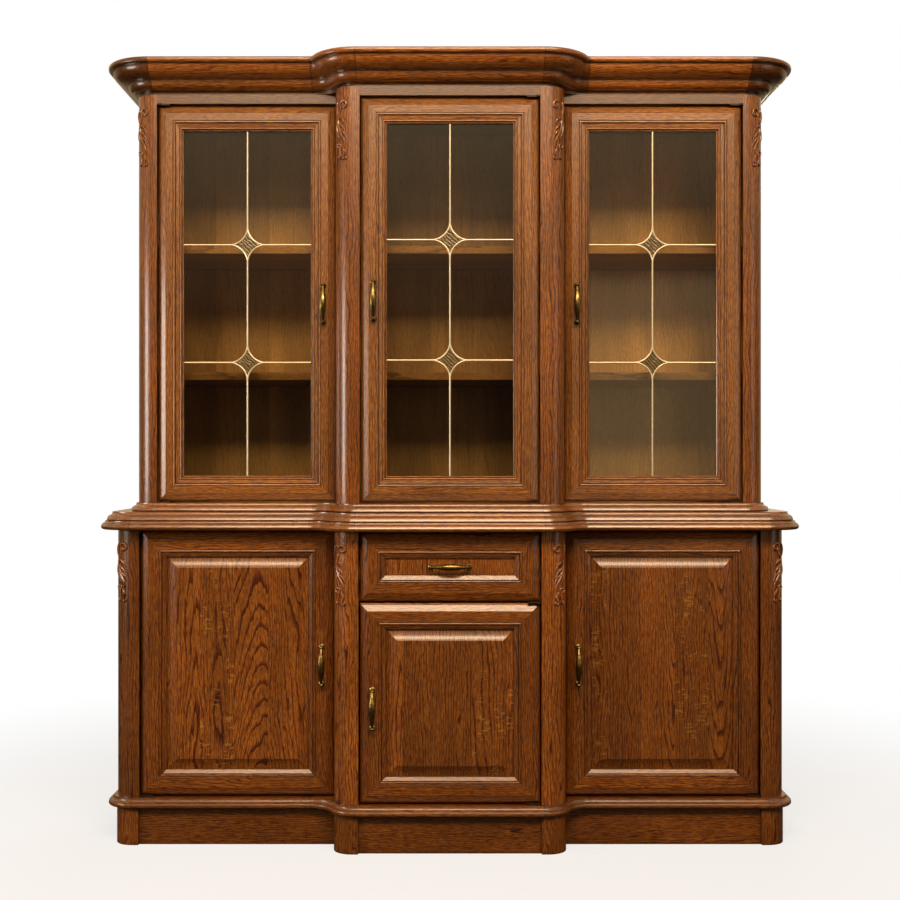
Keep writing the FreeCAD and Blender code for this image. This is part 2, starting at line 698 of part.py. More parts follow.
for bay, low_x, width, front, hinge_right in (
        ("left", f"-{upper_door_low}", upper_door_width, upper_face, False),
        ("centre", f"-{bay_door_half}", f"(2 * {bay_door_half})", upper_centre_face, True),
        ("right", f"({centre_half} + side_gap)", upper_door_width, upper_face, True)):
    label = f"upper_{bay}_door"
    high_x = f"({low_x} + {width})"
    member = "glazed_frame_width"
    front_frame(label + "_frame", low_x, front, upper_door_z, width, upper_door_height, member)
    node(label + "_glass", infill(label + "_glass", low_x, front, upper_door_z, width, upper_door_height,
                                  member, "glass_thickness"))
    pane_y = f"({front} + front_thickness - rebate_depth)"
    came_y = f"({pane_y} - came_thickness)"
    middle_x = f"({low_x} + {width} / 2)"
    strips = [box(label + "_upright_came", f"{middle_x} - came_width / 2", came_y,
                  f"{upper_door_z} + {member}", "came_width", "came_thickness",
                  f"{upper_door_height} - 2 * {member}")]
    for order, side in (("first", "-"), ("second", "+")):
        level = f"({upper_door_z} + {upper_door_height} / 2 {side} came_spread / 2)"
        strips.append(box(f"{label}_{order}_came", f"{low_x} + {member}", came_y, f"{level} - came_width / 2",
                          f"{width} - 2 * {member}", "came_thickness", "came_width"))
        strips.append(star(f"{label}_{order}_star", middle_x, pane_y, level))
    cames = doc.addObject("Part::MultiFuse", label + "_cames")
    cames.Shapes = strips
    node(label + "_cames", cames)
    grip_x = f"{low_x} + handle_from_edge" if hinge_right else f"{high_x} - handle_from_edge"
    handle(label + "_handle", grip_x, front, f"{upper_floor} + upper_handle_from_floor")
    hinges(label, high_x if hinge_right else low_x, front, upper_door_z, upper_door_height,
           -1 if hinge_right else 1)
compound("hinge_brackets", brackets)

# Drawer: a framed front on a box of sides, back and bottom, on steel runners
drawer_z = f"({lower_door_z} + {centre_door_height} + drawer_gap)"
drawer_width = f"(2 * {bay_door_half})"
front_frame("drawer_front_frame", f"-{bay_door_half}", centre_face, drawer_z, drawer_width,
            "drawer_front_height", "drawer_frame_width")
node("drawer_front_panel", infill("drawer_front_panel", f"-{bay_door_half}", centre_face, drawer_z,
                                  drawer_width, "drawer_front_height", "drawer_frame_width", "rebate_depth"))
handle("drawer_handle", 0, f"{centre_face} + front_thickness - rebate_depth",
       f"{drawer_z} + drawer_front_height / 2", across=True)
box_y = f"({centre_face} + front_thickness)"
box_z = f"({drawer_z} + drawer_rise)"
box_half = f"({bay_half} - runner_room)"
inner_half = f"({box_half} - drawer_side_thickness)"
compound("drawer_sides", board_pair("drawer_side", inner_half, box_y, box_z, "drawer_side_thickness",
                                    "drawer_length", "drawer_side_height"))
node("drawer_back", box("drawer_back", f"-{inner_half}", f"{box_y} + drawer_length - drawer_side_thickness",
                        box_z, f"2 * {inner_half}", "drawer_side_thickness", "drawer_side_height"))
node("drawer_bottom", box("drawer_bottom", f"-{inner_half}", box_y, box_z, f"2 * {inner_half}",
                          "drawer_length - drawer_side_thickness", "drawer_bottom_thickness"))
rail_y = f"({box_y} + rail_setback)"
node("drawer_rail", box("drawer_rail", f"-{bay_half}", rail_y,
                        f"{lower_door_z} + {centre_door_height} + {hinge_gap}", f"2 * {bay_half}",
                        "rail_depth", "rail_thickness"))


def angle_runner(name, hand, web, flange, z):
    """A steel angle along the drawer: an upright web and a flange along its top edge.

    web and flange are the distances of their inner edges from the middle of the drawer.
    """
    members = []
    for part, near_x, width, low, height in (
            ("web", web, "runner_thickness", z, "runner_height"),
            ("flange", flange, "runner_flange", f"{z} + runner_height - runner_thickness",
             "runner_thickness")):
        low_x = near_x if hand == "right" else f"-({near_x}) - {width}"
        members.append(box(f"{name}_{part}", low_x, box_y, low, width, "drawer_length", height))
    whole = doc.addObject("Part::Fuse", name)
    whole.Base, whole.Tool = members
    return whole


slide_z = f"({box_z} + runner_height)"
track_z = f"({slide_z} - runner_thickness - runner_clearance)"
tracks = []
slides = []
for hand in ("left", "right"):
    tracks.append(angle_runner(f"drawer_track_{hand}", hand, f"({bay_half} - runner_thickness)",
                               f"({bay_half} - runner_flange)", track_z))
    slides.append(angle_runner(f"drawer_slide_{hand}", hand, box_half, box_half, slide_z))
compound("drawer_tracks", tracks)
compound("drawer_slides", slides)

doc.recompute()
for thing in doc.Objects:
    if "Invalid" in thing.State or "Error" in thing.State:
        raise RuntimeError(f"{thing.Label} failed: {thing.State}")
os.makedirs("parts", exist_ok=True)
for label, thing in nodes.items():
    shape = thing.Shape
    if shape.isNull() or not shape.isValid() or not shape.Solids:
        raise RuntimeError(f"{label} has no valid solid")
for label, thing in nodes.items():
    thing.Shape.exportStep(f"parts/{label}.step")
print(f"{len(nodes)} sub-parts written")
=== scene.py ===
import math

import bpy
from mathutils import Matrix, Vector


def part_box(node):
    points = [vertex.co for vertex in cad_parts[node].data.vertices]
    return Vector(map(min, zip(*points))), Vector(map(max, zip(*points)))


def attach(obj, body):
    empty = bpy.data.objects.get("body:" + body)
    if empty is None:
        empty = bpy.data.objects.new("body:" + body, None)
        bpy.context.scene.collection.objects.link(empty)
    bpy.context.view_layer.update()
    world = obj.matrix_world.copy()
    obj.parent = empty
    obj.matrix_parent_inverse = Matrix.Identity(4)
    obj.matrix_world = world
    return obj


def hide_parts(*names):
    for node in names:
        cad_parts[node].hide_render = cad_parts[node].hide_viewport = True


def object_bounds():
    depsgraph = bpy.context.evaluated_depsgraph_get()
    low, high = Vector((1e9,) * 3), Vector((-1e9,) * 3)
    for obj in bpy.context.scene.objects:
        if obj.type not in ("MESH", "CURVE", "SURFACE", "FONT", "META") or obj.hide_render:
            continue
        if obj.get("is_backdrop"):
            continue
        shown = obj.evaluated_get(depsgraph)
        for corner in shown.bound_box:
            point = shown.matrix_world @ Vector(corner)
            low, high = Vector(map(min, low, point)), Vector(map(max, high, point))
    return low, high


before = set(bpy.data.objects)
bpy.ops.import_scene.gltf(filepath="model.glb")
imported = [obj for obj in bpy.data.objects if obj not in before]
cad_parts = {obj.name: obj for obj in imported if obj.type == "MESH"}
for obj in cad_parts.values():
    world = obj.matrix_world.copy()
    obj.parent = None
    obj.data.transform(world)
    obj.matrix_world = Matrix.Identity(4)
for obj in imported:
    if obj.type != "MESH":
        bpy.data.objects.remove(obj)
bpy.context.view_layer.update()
scene = bpy.context.scene
MM = 0.001
X, Y, Z = 0, 1, 2

# Plinth: four rounded oak blocks under the posts with straight boards between them. All of it is solid
# oak, planed, stained brown and sprayed with satin lacquer, glued up and dowelled to the base board above.


def linear(text):
    """An sRGB hex colour as linear red, green, blue and alpha."""
    parts = [int(text[start:start + 2], 16) / 255 for start in (1, 3, 5)]
    return [part / 12.92 if part <= 0.04045 else ((part + 0.055) / 1.055) ** 2.4 for part in parts] + [1.0]


def add_node(tree, kind, inputs=None, **settings):
    """Add a shader node whose inputs are set to values or linked to other nodes, and give its outputs.

    A Mix node blends numbers at its inputs 2 and 3, and colours at its inputs 6 and 7.
    """
    made = tree.nodes.new("ShaderNode" + kind)
    for setting, value in settings.items():
        setattr(made, setting, value)
    for socket, value in (inputs or {}).items():
        if isinstance(value, bpy.types.NodeSocket):
            tree.links.new(value, made.inputs[socket])
        else:
            made.inputs[socket].default_value = value
    return made.outputs


def bare_material(name):
    """A new material, its node tree and its shader."""
    material = bpy.data.materials.new(name)
    material.use_nodes = True
    return material, material.node_tree, material.node_tree.nodes["Principled BSDF"]


ARRIS_MM = 1.2
STAINED_OAK = ("#290B00", "#5F2808", "#9E6020")
RAY_FLECK = "#C89045"
# Sizes in the wood, in millimetres along the grain and across it. Real fibres and pores are under half a
# millimetre wide; these are drawn coarse enough to show.
FIBRE = (18, 1.5)
PORE = (9, 1.2)
RAY = (6, 22)
RAY_GROUP = (70, 30)
CLOUD = (340, 80)
RING_DRIFT = (260, 45)
RING_BEND = (320, 90)
RING_FRAY = (140, 7)
DRIFT_MM = 46
ARCH_START_MM = 200
BEND_SHARE = 0.3
FRAYED_RINGS = 0.5
EARLYWOOD_SHARE = 0.34
EARLYWOOD_DARKNESS = 0.45
PORE_DARKNESS = 0.5
PORE_DEPTH_MM = 0.3
# The pith lies within or beside its plank, in widths of the plank
PITH_SPAN = 2.2
PITH_START = -0.6
GLUE_LINE_MM = 1.1
GLUE_LINE_TONE = 0.25
# Steps that give each plank, piece and material another part of the noise
PLANK_STEP = 0.37
SEED_STEP = 7.3
JOINT_STEP = 3.1
NOISE_STEPS = (41.0, 43.0, 47.0)


def stained_oak(name, along, across, ring_mm, plank_mm=4000.0, arch=0.0, fleck=0.0, seed=0.0, joints=(),
                tone=1.0, tones=STAINED_OAK, figure=1.0, coat=0.6, corner_mm=11):
    """Stained and lacquered oak: growth rings with dark porous earlywood, fibres, pores and ray flecks.

    The grain runs along one axis, planks lie side by side across another. An arch tilts the rings through
    the board, which gives the nested arches of a plain-sawn plank. Joints are places along X, either side
    of the middle, where another piece of wood starts, each with its own tone.
    """
    material, tree, shader = bare_material(name)
    place = add_node(tree, "TexCoord")["Object"]
    axes = add_node(tree, "SeparateXYZ", {0: place})

    # Which plank it is, and its own luck
    planks = add_node(tree, "Math", {0: axes[across], 1: 1 / (plank_mm * MM), 2: seed + PLANK_STEP},
                      operation="MULTIPLY_ADD")[0]
    plank = add_node(tree, "Math", {0: planks}, operation="FLOOR")[0]
    piece = add_node(tree, "Math", {0: plank, 1: seed * SEED_STEP}, operation="ADD")[0]
    shade = tone
    seam = None
    if joints:
        out = add_node(tree, "Math", {0: axes[X]}, operation="ABSOLUTE")[0]
        side = add_node(tree, "Math", {0: axes[X]}, operation="SIGN")[0]
        for place_mm, piece_tone in joints:
            beyond = add_node(tree, "Math", {0: out, 1: place_mm * MM}, operation="GREATER_THAN")[0]
            turned = add_node(tree, "Math", {0: beyond, 1: side}, operation="MULTIPLY")[0]
            piece = add_node(tree, "Math", {0: turned, 1: JOINT_STEP, 2: piece},
                             operation="MULTIPLY_ADD")[0]
            shade = add_node(tree, "Mix", {0: beyond, 2: shade, 3: piece_tone})[0]
            near = add_node(tree, "Math", {0: out, 1: place_mm * MM, 2: GLUE_LINE_MM * MM},
                            operation="COMPARE")[0]
            if seam is not None:
                near = add_node(tree, "Math", {0: seam, 1: near}, operation="MAXIMUM")[0]
            seam = near
    luck = add_node(tree, "TexWhiteNoise", {"W": piece}, noise_dimensions="1D")
    lucks = add_node(tree, "SeparateColor", {0: luck["Color"]})
    shift = add_node(tree, "VectorMath", {0: luck["Color"], 1: NOISE_STEPS}, operation="MULTIPLY")[0]

    def streaks(size, detail, twist=0.0):
        """Noise drawn out along the grain, another on each plank."""
        long_mm, wide_mm = size
        stretch = [1 / (wide_mm * MM)] * 3
        stretch[along] = 1 / (long_mm * MM)
        spot = add_node(tree, "VectorMath", {0: place, 1: stretch, 2: shift}, operation="MULTIPLY_ADD")[0]
        return add_node(tree, "TexNoise", {"Vector": spot, "Scale": 1.0, "Detail": detail,
                                           "Distortion": twist})[0]

    # Rings: a distance from the tree's middle, which wanders along the board
    inside = add_node(tree, "Math", {0: planks}, operation="FRACT")[0]
    pith = add_node(tree, "Math", {0: lucks[0], 1: PITH_SPAN, 2: PITH_START}, operation="MULTIPLY_ADD")[0]
    from_pith = add_node(tree, "Math", {0: inside, 1: pith}, operation="SUBTRACT")[0]
    drift = add_node(tree, "Math", {0: streaks(RING_DRIFT, 2.0), 1: DRIFT_MM * MM, 2: -DRIFT_MM / 2 * MM},
                     operation="MULTIPLY_ADD")[0]
    sideways = add_node(tree, "Math", {0: from_pith, 1: plank_mm * MM, 2: drift},
                        operation="MULTIPLY_ADD")[0]
    started = add_node(tree, "Math", {0: lucks[1], 1: ARCH_START_MM * MM, 2: -ARCH_START_MM / 2 * MM},
                       operation="MULTIPLY_ADD")[0]
    crooked = add_node(tree, "Math", {0: streaks(RING_BEND, 1.0), 1: BEND_SHARE * arch, 2: started},
                       operation="MULTIPLY_ADD")[0]
    # A plank sawn towards the pith has straighter rings, and shows the rays
    leaning = add_node(tree, "MapRange", {0: lucks[2], 2: 0.75, 3: 1.3 * arch, 4: 0.3 * arch},
                       interpolation_type="SMOOTHSTEP")[0]
    depthwise = add_node(tree, "Math", {0: axes[along], 1: leaning, 2: crooked},
                         operation="MULTIPLY_ADD")[0]
    flat = add_node(tree, "CombineXYZ", {0: sideways, 1: depthwise})[0]
    radius = add_node(tree, "VectorMath", {0: flat}, operation="LENGTH")["Value"]
    frayed = add_node(tree, "Math", {0: streaks(RING_FRAY, 2.0), 1: FRAYED_RINGS}, operation="MULTIPLY")[0]
    rings = add_node(tree, "Math", {0: radius, 1: 1 / (ring_mm * MM), 2: frayed},
                     operation="MULTIPLY_ADD")[0]
    growth = add_node(tree, "Math", {0: rings}, operation="FRACT")[0]
    early = add_node(tree, "MapRange", {0: growth, 2: EARLYWOOD_SHARE, 3: 1.0, 4: 0.0},
                     interpolation_type="SMOOTHSTEP")[0]

    # Pale latewood fibres, darker earlywood, and pores that crowd into the earlywood as short dashes
    fibre = streaks(FIBRE, 3.0)
    dashes = add_node(tree, "Math", {0: early, 1: 0.15, 2: streaks(PORE, 1.0)}, operation="MULTIPLY_ADD")[0]
    pore = add_node(tree, "MapRange", {0: dashes, 1: 0.56, 2: 0.70}, interpolation_type="SMOOTHSTEP")[0]
    grain = add_node(tree, "Math", {0: fibre, 1: 1.3, 2: 0.06}, operation="MULTIPLY_ADD")[0]
    grain = add_node(tree, "Math", {0: early, 1: -EARLYWOOD_DARKNESS * figure, 2: grain},
                     operation="MULTIPLY_ADD")[0]
    dark, middling, light = [linear(text) for text in tones]
    lighter = add_node(tree, "MapRange", {0: grain, 2: 0.5}, interpolation_type="SMOOTHSTEP")[0]
    lightest = add_node(tree, "MapRange", {0: grain, 1: 0.45, 2: 0.95}, interpolation_type="SMOOTHSTEP")[0]
    colour = add_node(tree, "Mix", {0: lighter, 6: dark, 7: middling}, data_type="RGBA")[2]
    colour = add_node(tree, "Mix", {0: lightest, 6: colour, 7: light}, data_type="RGBA")[2]
    if fleck:
        # Medullary rays show as short pale flecks, only on a plank that was sawn near to them
        rays = add_node(tree, "MapRange", {0: streaks(RAY, 1.0, 0.6), 1: 0.57, 2: 0.62, 4: fleck},
                        interpolation_type="SMOOTHSTEP")[0]
        sawn = add_node(tree, "MapRange", {0: lucks[2], 1: 0.76, 2: 0.80},
                        interpolation_type="SMOOTHSTEP")[0]
        grouped = add_node(tree, "MapRange", {0: streaks(RAY_GROUP, 1.0), 1: 0.48, 2: 0.58},
                           interpolation_type="SMOOTHSTEP")[0]
        shown = add_node(tree, "Math", {0: rays, 1: sawn}, operation="MULTIPLY")[0]
        shown = add_node(tree, "Math", {0: shown, 1: grouped}, operation="MULTIPLY")[0]
        colour = add_node(tree, "Mix", {0: shown, 6: colour, 7: linear(RAY_FLECK)}, data_type="RGBA")[2]

    # Its shade: dark pores, soft clouds, the plank's and the piece's own tone, and glue lines. Quirks,
    # corners and the gaps between parts are darkened with painted shade from an ambient-occlusion mask.
    darker = add_node(tree, "Math", {0: pore, 1: -PORE_DARKNESS * figure, 2: 1.0},
                      operation="MULTIPLY_ADD")[0]
    uneven = add_node(tree, "MapRange", {0: streaks(CLOUD, 2.0), 1: 0.3, 2: 0.7, 3: 0.82, 4: 1.16},
                      interpolation_type="SMOOTHSTEP")[0]
    board = add_node(tree, "MapRange", {0: luck["Value"], 3: 0.84, 4: 1.18},
                     interpolation_type="SMOOTHSTEP")[0]
    # Painted shade: the more closed in a spot is, the darker it is painted
    open_share = add_node(tree, "AmbientOcclusion", {"Distance": corner_mm * MM}, samples=4)["AO"]
    painted_corner_shade = add_node(tree, "MapRange", {0: open_share, 1: 0.3, 2: 0.95, 3: 0.4},
                        interpolation_type="SMOOTHSTEP")[0]
    shades = [uneven, board, shade, painted_corner_shade]
    if seam is not None:
        shades.append(add_node(tree, "MapRange", {0: seam, 3: 1.0, 4: GLUE_LINE_TONE})[0])
    value = darker
    for factor in shades:
        value = add_node(tree, "Math", {0: value, 1: factor}, operation="MULTIPLY")[0]
    colour = add_node(tree, "HueSaturation", {"Value": value, "Color": colour})[0]

    # Sharp arrises are eased, as sandpaper leaves them, and the open pores are felt through the lacquer
    eased = add_node(tree, "Bevel", {"Radius": ARRIS_MM * MM}, samples=4)[0]
    height = add_node(tree, "Math", {0: pore, 1: -1.0, 2: 1.0}, operation="MULTIPLY_ADD")[0]
    bump = add_node(tree, "Bump", {"Strength": 0.16, "Distance": PORE_DEPTH_MM * MM, "Height": height,
                                   "Normal": eased})[0]
    roughness = add_node(tree, "MapRange", {0: fibre, 1: 0.2, 2: 0.8, 3: 0.36, 4: 0.28},
                         interpolation_type="SMOOTHSTEP")[0]
    tree.links.new(colour, shader.inputs["Base Color"])
    tree.links.new(roughness, shader.inputs["Roughness"])
    tree.links.new(bump, shader.inputs["Normal"])
    shader.inputs["Specular IOR Level"].default_value = 0.5
    shader.inputs["Coat Weight"].default_value = coat
    shader.inputs["Coat Roughness"].default_value = 0.16
    return material


def dress(material, *names):
    """Give CAD nodes a finish."""
    for name in names:
        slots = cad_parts[name].data.materials
        slots.clear()
        slots.append(material)


# The boards show straight grain from end to end; the blocks show upright grain and are a little darker
plinth_oak = stained_oak("lacquered oak, plinth boards", X, Z, 4.5, seed=1.0, tone=0.92)
dress(plinth_oak, "plinth_boards")
block_oak = stained_oak("lacquered oak, plinth blocks", Z, X, 5.0, seed=2.0, tone=0.8)
dress(block_oak, "plinth_blocks")

# Base board, carcass top, counter and hutch base: oak mouldings with a hollow over a rounded nose, which
# follow the break in the front. Straight lengths are glued to curved pieces, so joint lines and changes of
# grain show.
POST_RADIUS = 48
BREAK_DEPTH = 80
BREAK_SHIFT = 10
HOLLOW_RADIUS = 84
ARC_STEPS = 10
SHARP = math.radians(32)
CONVEX_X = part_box("lower_break_posts")[1].x / MM - POST_RADIUS - BREAK_SHIFT
BREAK_SPAN = HOLLOW_RADIUS + POST_RADIUS
HOLLOW_X = CONVEX_X + math.sqrt(BREAK_SPAN ** 2 - (BREAK_SPAN - BREAK_DEPTH) ** 2)


def quarter(centre, sizes, start, end, steps=7):
    """Points on an ellipse about a centre, from one angle to another in degrees."""
    turns = [math.radians(start + (end - start) * step / steps) for step in range(steps + 1)]
    return [(centre[0] + sizes[0] * math.cos(turn), centre[1] + sizes[1] * math.sin(turn))
            for turn in turns]


def wing_plan(posts):
    """Half the width and the front of the wings, in millimetres, from the end posts."""
    low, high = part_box(posts)
    return round(high.x / MM, 3), round(low.y / MM, 3)


def breakfront_line(half, front, rear, overhang):
    """The plan of a moulding from the rear of its left end, round the front, to the rear of its right end.

    The curves at the breaks are arcs about fixed centres, so every overhang gives a parallel line.
    """
    turn = math.degrees(math.atan2(BREAK_DEPTH - BREAK_SPAN, HOLLOW_X - CONVEX_X))
    outer = POST_RADIUS + overhang
    inner = HOLLOW_RADIUS - overhang
    right = quarter((CONVEX_X, front - BREAK_DEPTH + POST_RADIUS), (outer, outer), -90, turn, ARC_STEPS)
    right += quarter((HOLLOW_X, front - HOLLOW_RADIUS), (inner, inner), turn + 180, 90, ARC_STEPS)[1:]
    right += quarter((half - POST_RADIUS, front + POST_RADIUS), (outer, outer), -90, 0, ARC_STEPS)
    right.append((half + overhang, rear))
    return [(-x, y) for x, y in reversed(right)] + right


def finished(name, points, faces, materials, body, replaced=(), slots=None, sharp=SHARP):
    """A mesh piece with smooth rounds and sharp arrises, which rides on a body."""
    mesh = bpy.data.meshes.new(name)
    mesh.from_pydata(points, [], faces)
    for material in materials:
        mesh.materials.append(material)
    if slots:
        mesh.polygons.foreach_set("material_index", slots)
    mesh.shade_smooth()
    mesh.set_sharp_from_angle(angle=sharp)
    mesh.update()
    piece = bpy.data.objects.new(name, mesh)
    scene.collection.objects.link(piece)
    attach(piece, body)
    if replaced:
        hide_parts(*replaced)


def moulding(name, nodes, plan, profile, material, well=None):
    """Sweep a profile of overhangs and heights, from the bottom up, along the breakfront plan.

    A well is the half width and the front of the hollow inside, which stays open at the back.
    """
    bottom = min(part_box(node)[0].z for node in nodes)
    rear = max(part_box(node)[1].y for node in nodes) / MM
    points, faces = [], []
    for overhang, rise in profile:
        line = breakfront_line(*plan, rear, overhang)
        points += [(x * MM, y * MM, bottom + rise * MM) for x, y in line]
    length = len(line)
    levels = range(len(profile))
    for base in [level * length for level in levels[:-1]]:
        for here in range(base, base + length - 1):
            faces.append((here, here + 1, here + length + 1, here + length))
    left_end = [level * length for level in levels]
    right_end = [level * length + length - 1 for level in reversed(levels)]
    bottom_edge = list(range(length))
    top_edge = list(range(left_end[-1], left_end[-1] + length))
    if well is None:
        faces.append(tuple(left_end + right_end))
    else:
        half, front = well
        inner = [(half, rear), (half, front), (-half, front), (-half, rear)]
        start = len(points)
        for rise in (profile[0][1], profile[-1][1]):
            points += [(x * MM, y * MM, bottom + rise * MM) for x, y in inner]
        bottom_edge += [start, start + 1, start + 2, start + 3]
        top_edge += [start + 4, start + 5, start + 6, start + 7]
        faces += [(start + side + 1, start + side, start + 4 + side, start + 5 + side) for side in range(3)]
        faces.append(tuple(left_end + [start + 7, start + 3]))
        faces.append(tuple(right_end + [start, start + 4]))
    faces += [tuple(reversed(bottom_edge)), tuple(top_edge)]
    finished(name, points, faces, (material,), "carcass", nodes)


NOSE_ROUND = 2.0
NOSE_INSET = (2.2, 0.4)
FILLET = (4.0, 0.6)
HOLLOW_SHARE = 0.8


def nosed(thickness, overhang, hollow, face, under, lean=22):
    """A moulding's profile: a rounded underside, a nose whose face leans back, and a hollow to the top."""
    back = overhang - face * math.sin(math.radians(lean))
    rise = under + face * math.cos(math.radians(lean))
    nose = (back - NOSE_INSET[0], rise - NOSE_INSET[1])
    points = quarter((overhang - under, under), (under, under), -90, 0, 4) + [(back, rise)]
    points += quarter(nose, (NOSE_ROUND, NOSE_ROUND), 30, 90, 3)
    fillet = back - FILLET[0]
    points += [(fillet, rise + FILLET[1]), (fillet, thickness - hollow)]
    return points + quarter((fillet, thickness), (hollow * HOLLOW_SHARE, hollow), -90, -180, 6)


# A quiet grain from end to end under a fuller gloss, broken by dark glue lines and changes of tone
LOWER_PLAN = wing_plan("lower_end_posts")
UPPER_PLAN = wing_plan("upper_end_posts")
for name, plan, profile, tone, seed, coat in (
        # The base board's low tone is painted shade, darker down by the floor
        ("base_board", LOWER_PLAN, nosed(24, 24, 11, 6, 5, 12), 0.7, 3.0, 0.4),
        ("lower_top_board", LOWER_PLAN, nosed(23, 44, 6, 6, 8), 1.0, 4.0, 1.0),
        ("counter_board", LOWER_PLAN, nosed(23, 29, 9.5, 7.5, 3.5), 1.0, 5.0, 1.0),
        ("hutch_base", UPPER_PLAN, nosed(22, 20, 9, 7, 3.5), 1.0, 6.0, 1.0)):
    joints = ((CONVEX_X, tone * 0.92), (HOLLOW_X, tone), (plan[0] - POST_RADIUS, tone * 0.86))
    board_oak = stained_oak(f"lacquered oak moulding, {name}", X, Z, 5.5, seed=seed, joints=joints,
                            tone=tone, figure=0.4, coat=coat)
    moulding(f"{name}_moulding", (name,), plan, profile, board_oak)

# Posts: square oak posts whose outer front arris is worked to a quarter round. The end posts carry the
# sides and the break posts carry the dividers; they are dowelled to the boards above and below.
# Each pair shows long upright grain that leans a little, with its own tone.
for name, tone, seed in (("lower_end_posts", 0.9, 7.0), ("lower_break_posts", 1.25, 8.0),
                         ("upper_end_posts", 1.05, 9.0), ("upper_break_posts", 1.08, 10.0)):
    dress(stained_oak(f"lacquered oak, {name}", Z, X, 7.0, arch=0.012, seed=seed, tone=tone), name)

# Carcass boards: oak-veneered sides, dividers, shelves and tops, edged with solid oak and dowelled
# together. The thin backs are veneered board too, painted paler than the stain as painted light inside the
# hutch.
# The sides show tall arches, in planks of veneer as wide as a tree gives
side_oak = stained_oak("lacquered oak veneer, upright", Z, Y, 6.0, plank_mm=140, arch=0.05, seed=11.0)
dress(side_oak, "lower_sides", "upper_sides", "lower_dividers", "upper_dividers")
# The shelves are a lighter brown, with their grain from end to end
EDGED_SHELF = ("#844C1E", "#BC7837", "#DB974B")
shelf_oak = stained_oak("lacquered oak veneer, level", X, Y, 6.0, plank_mm=130, arch=0.04, seed=12.0,
                        tones=EDGED_SHELF)
dress(shelf_oak, "upper_shelves", "lower_shelves", "drawer_rail", "shelf_supports")
# The rails are painted darker, a band of painted shade under the cornice
rail_oak = stained_oak("lacquered oak, rails over the doors", X, Z, 5.0, seed=13.0, tone=0.62)
dress(rail_oak, "top_rails", "hutch_top")
# The backs are painted a pale gold, with a weak figure: painted light that brightens the inside of the
# hutch
VENEERED_BACK = ("#A56F3B", "#D29555", "#E8AD63")
back_oak = stained_oak("matt oak veneer, back panels", Z, X, 7.0, plank_mm=155, arch=0.05, seed=14.0,
                       tones=VENEERED_BACK, figure=0.45)
dress(back_oak, "lower_back", "upper_back", "drawer_bottom")

# Cornice: an oak moulding of a quirk, two ovolos one above the other and a cap, hollow behind. Its straight
# lengths are butted to turned corner pieces, which are painted darker as a painted dark reflection; all of
# it is glued to the top of the hutch.
WELL_WALL = 20
HUTCH_HALF, HUTCH_FRONT = UPPER_PLAN
# Bright straight lengths and corners painted dark as a painted reflection, with painted shade from a wide
# corner mask deep in the quirks
cornice_joints = ((CONVEX_X, 1.2), (HOLLOW_X, 1.42), (HUTCH_HALF - POST_RADIUS, 0.5))
cornice_oak = stained_oak("lacquered oak moulding, cornice", X, Z, 6.0, seed=15.0, tone=1.6, figure=0.6,
                          corner_mm=30, joints=cornice_joints)
cornice_profile = [(-3, 0), (-3, 8), (12, 9.5)]
cornice_profile += quarter((14, 30), (14, 18), -90, 0, 7) + [(28, 31.5), (31, 31.5)]
cornice_profile += quarter((31, 62), (36, 28), -90, 0, 9) + [(67, 64), (72, 64)]
cornice_profile += quarter((73, 69), (5, 5), -90, 0, 4) + quarter((73, 73), (5, 5), 0, 90, 4)
moulding("cornice_moulding", ("cornice_front", "cornice_returns"), UPPER_PLAN, cornice_profile, cornice_oak,
         (HUTCH_HALF - WELL_WALL, HUTCH_FRONT + POST_RADIUS))

# Carving: a scroll of acanthus on the rounded arris of every post, near its top. The leaves are carved in
# the solid, raised a few millimetres, and stained with the post.
CARVING_TOP = 29
CARVED_RISE = 5.2
CARVED_SINK = 0.4
CARVED_FACING = math.radians(53)
CARVED_WIDTH = 1.7
CARVED_STRETCH = 1.07
CARVED_TIP = 0.35
CARVED_RING = 7
SCROLL_STEPS = 24
CARVED_STROKES = (
    # Half width, then places round the post and down from the top of the carving
    (2.8, ((-4, 27), (-12, 42), (-13, 60), (-4, 82), (7, 100), (9, 116), (2, 130))),
    (2.2, ((-17, 6), (-20, 24), (-17, 44))),
    (2.2, ((-11, 46), (3, 51), (12, 66))),
    (2.4, ((-12, 60), (2, 67), (12, 84))),
    (2.2, ((-6, 76), (6, 82), (15, 99))),
    (2.4, ((-18, 54), (-17, 76), (-6, 98))),
    (2.2, ((3, 116), (9, 131), (2, 148))),
    (1.8, ((-2, 112), (-5, 128), (-1, 147))))
CARVED_SCROLLS = (
    # Half width, middle round and down, outer and inner radius, turns and starting angle in degrees
    (2.3, (6, 16), 12, 2.5, 1.5, 125),
    (1.9, (-10, 113), 8, 2.0, 1.2, -40),
    (1.6, (-8, 140), 5.5, 1.5, 1.1, -60),
    (1.6, (10, 143), 5.0, 1.5, -1.1, 240))


def smooth_path(places, steps=6):
    """A smooth curve through places."""
    path = []
    for index in range(len(places) - 1):
        before = Vector(places[max(index - 1, 0)])
        start = Vector(places[index])
        end = Vector(places[index + 1])
        after = Vector(places[min(index + 2, len(places) - 1)])
        bend = 2 * before - 5 * start + 4 * end - after
        twist = 3 * start - before - 3 * end + after
        for step in range(steps):
            t = step / steps
            path.append(0.5 * (2 * start + (end - before) * t + bend * t ** 2 + twist * t ** 3))
    return path + [Vector(places[-1])]


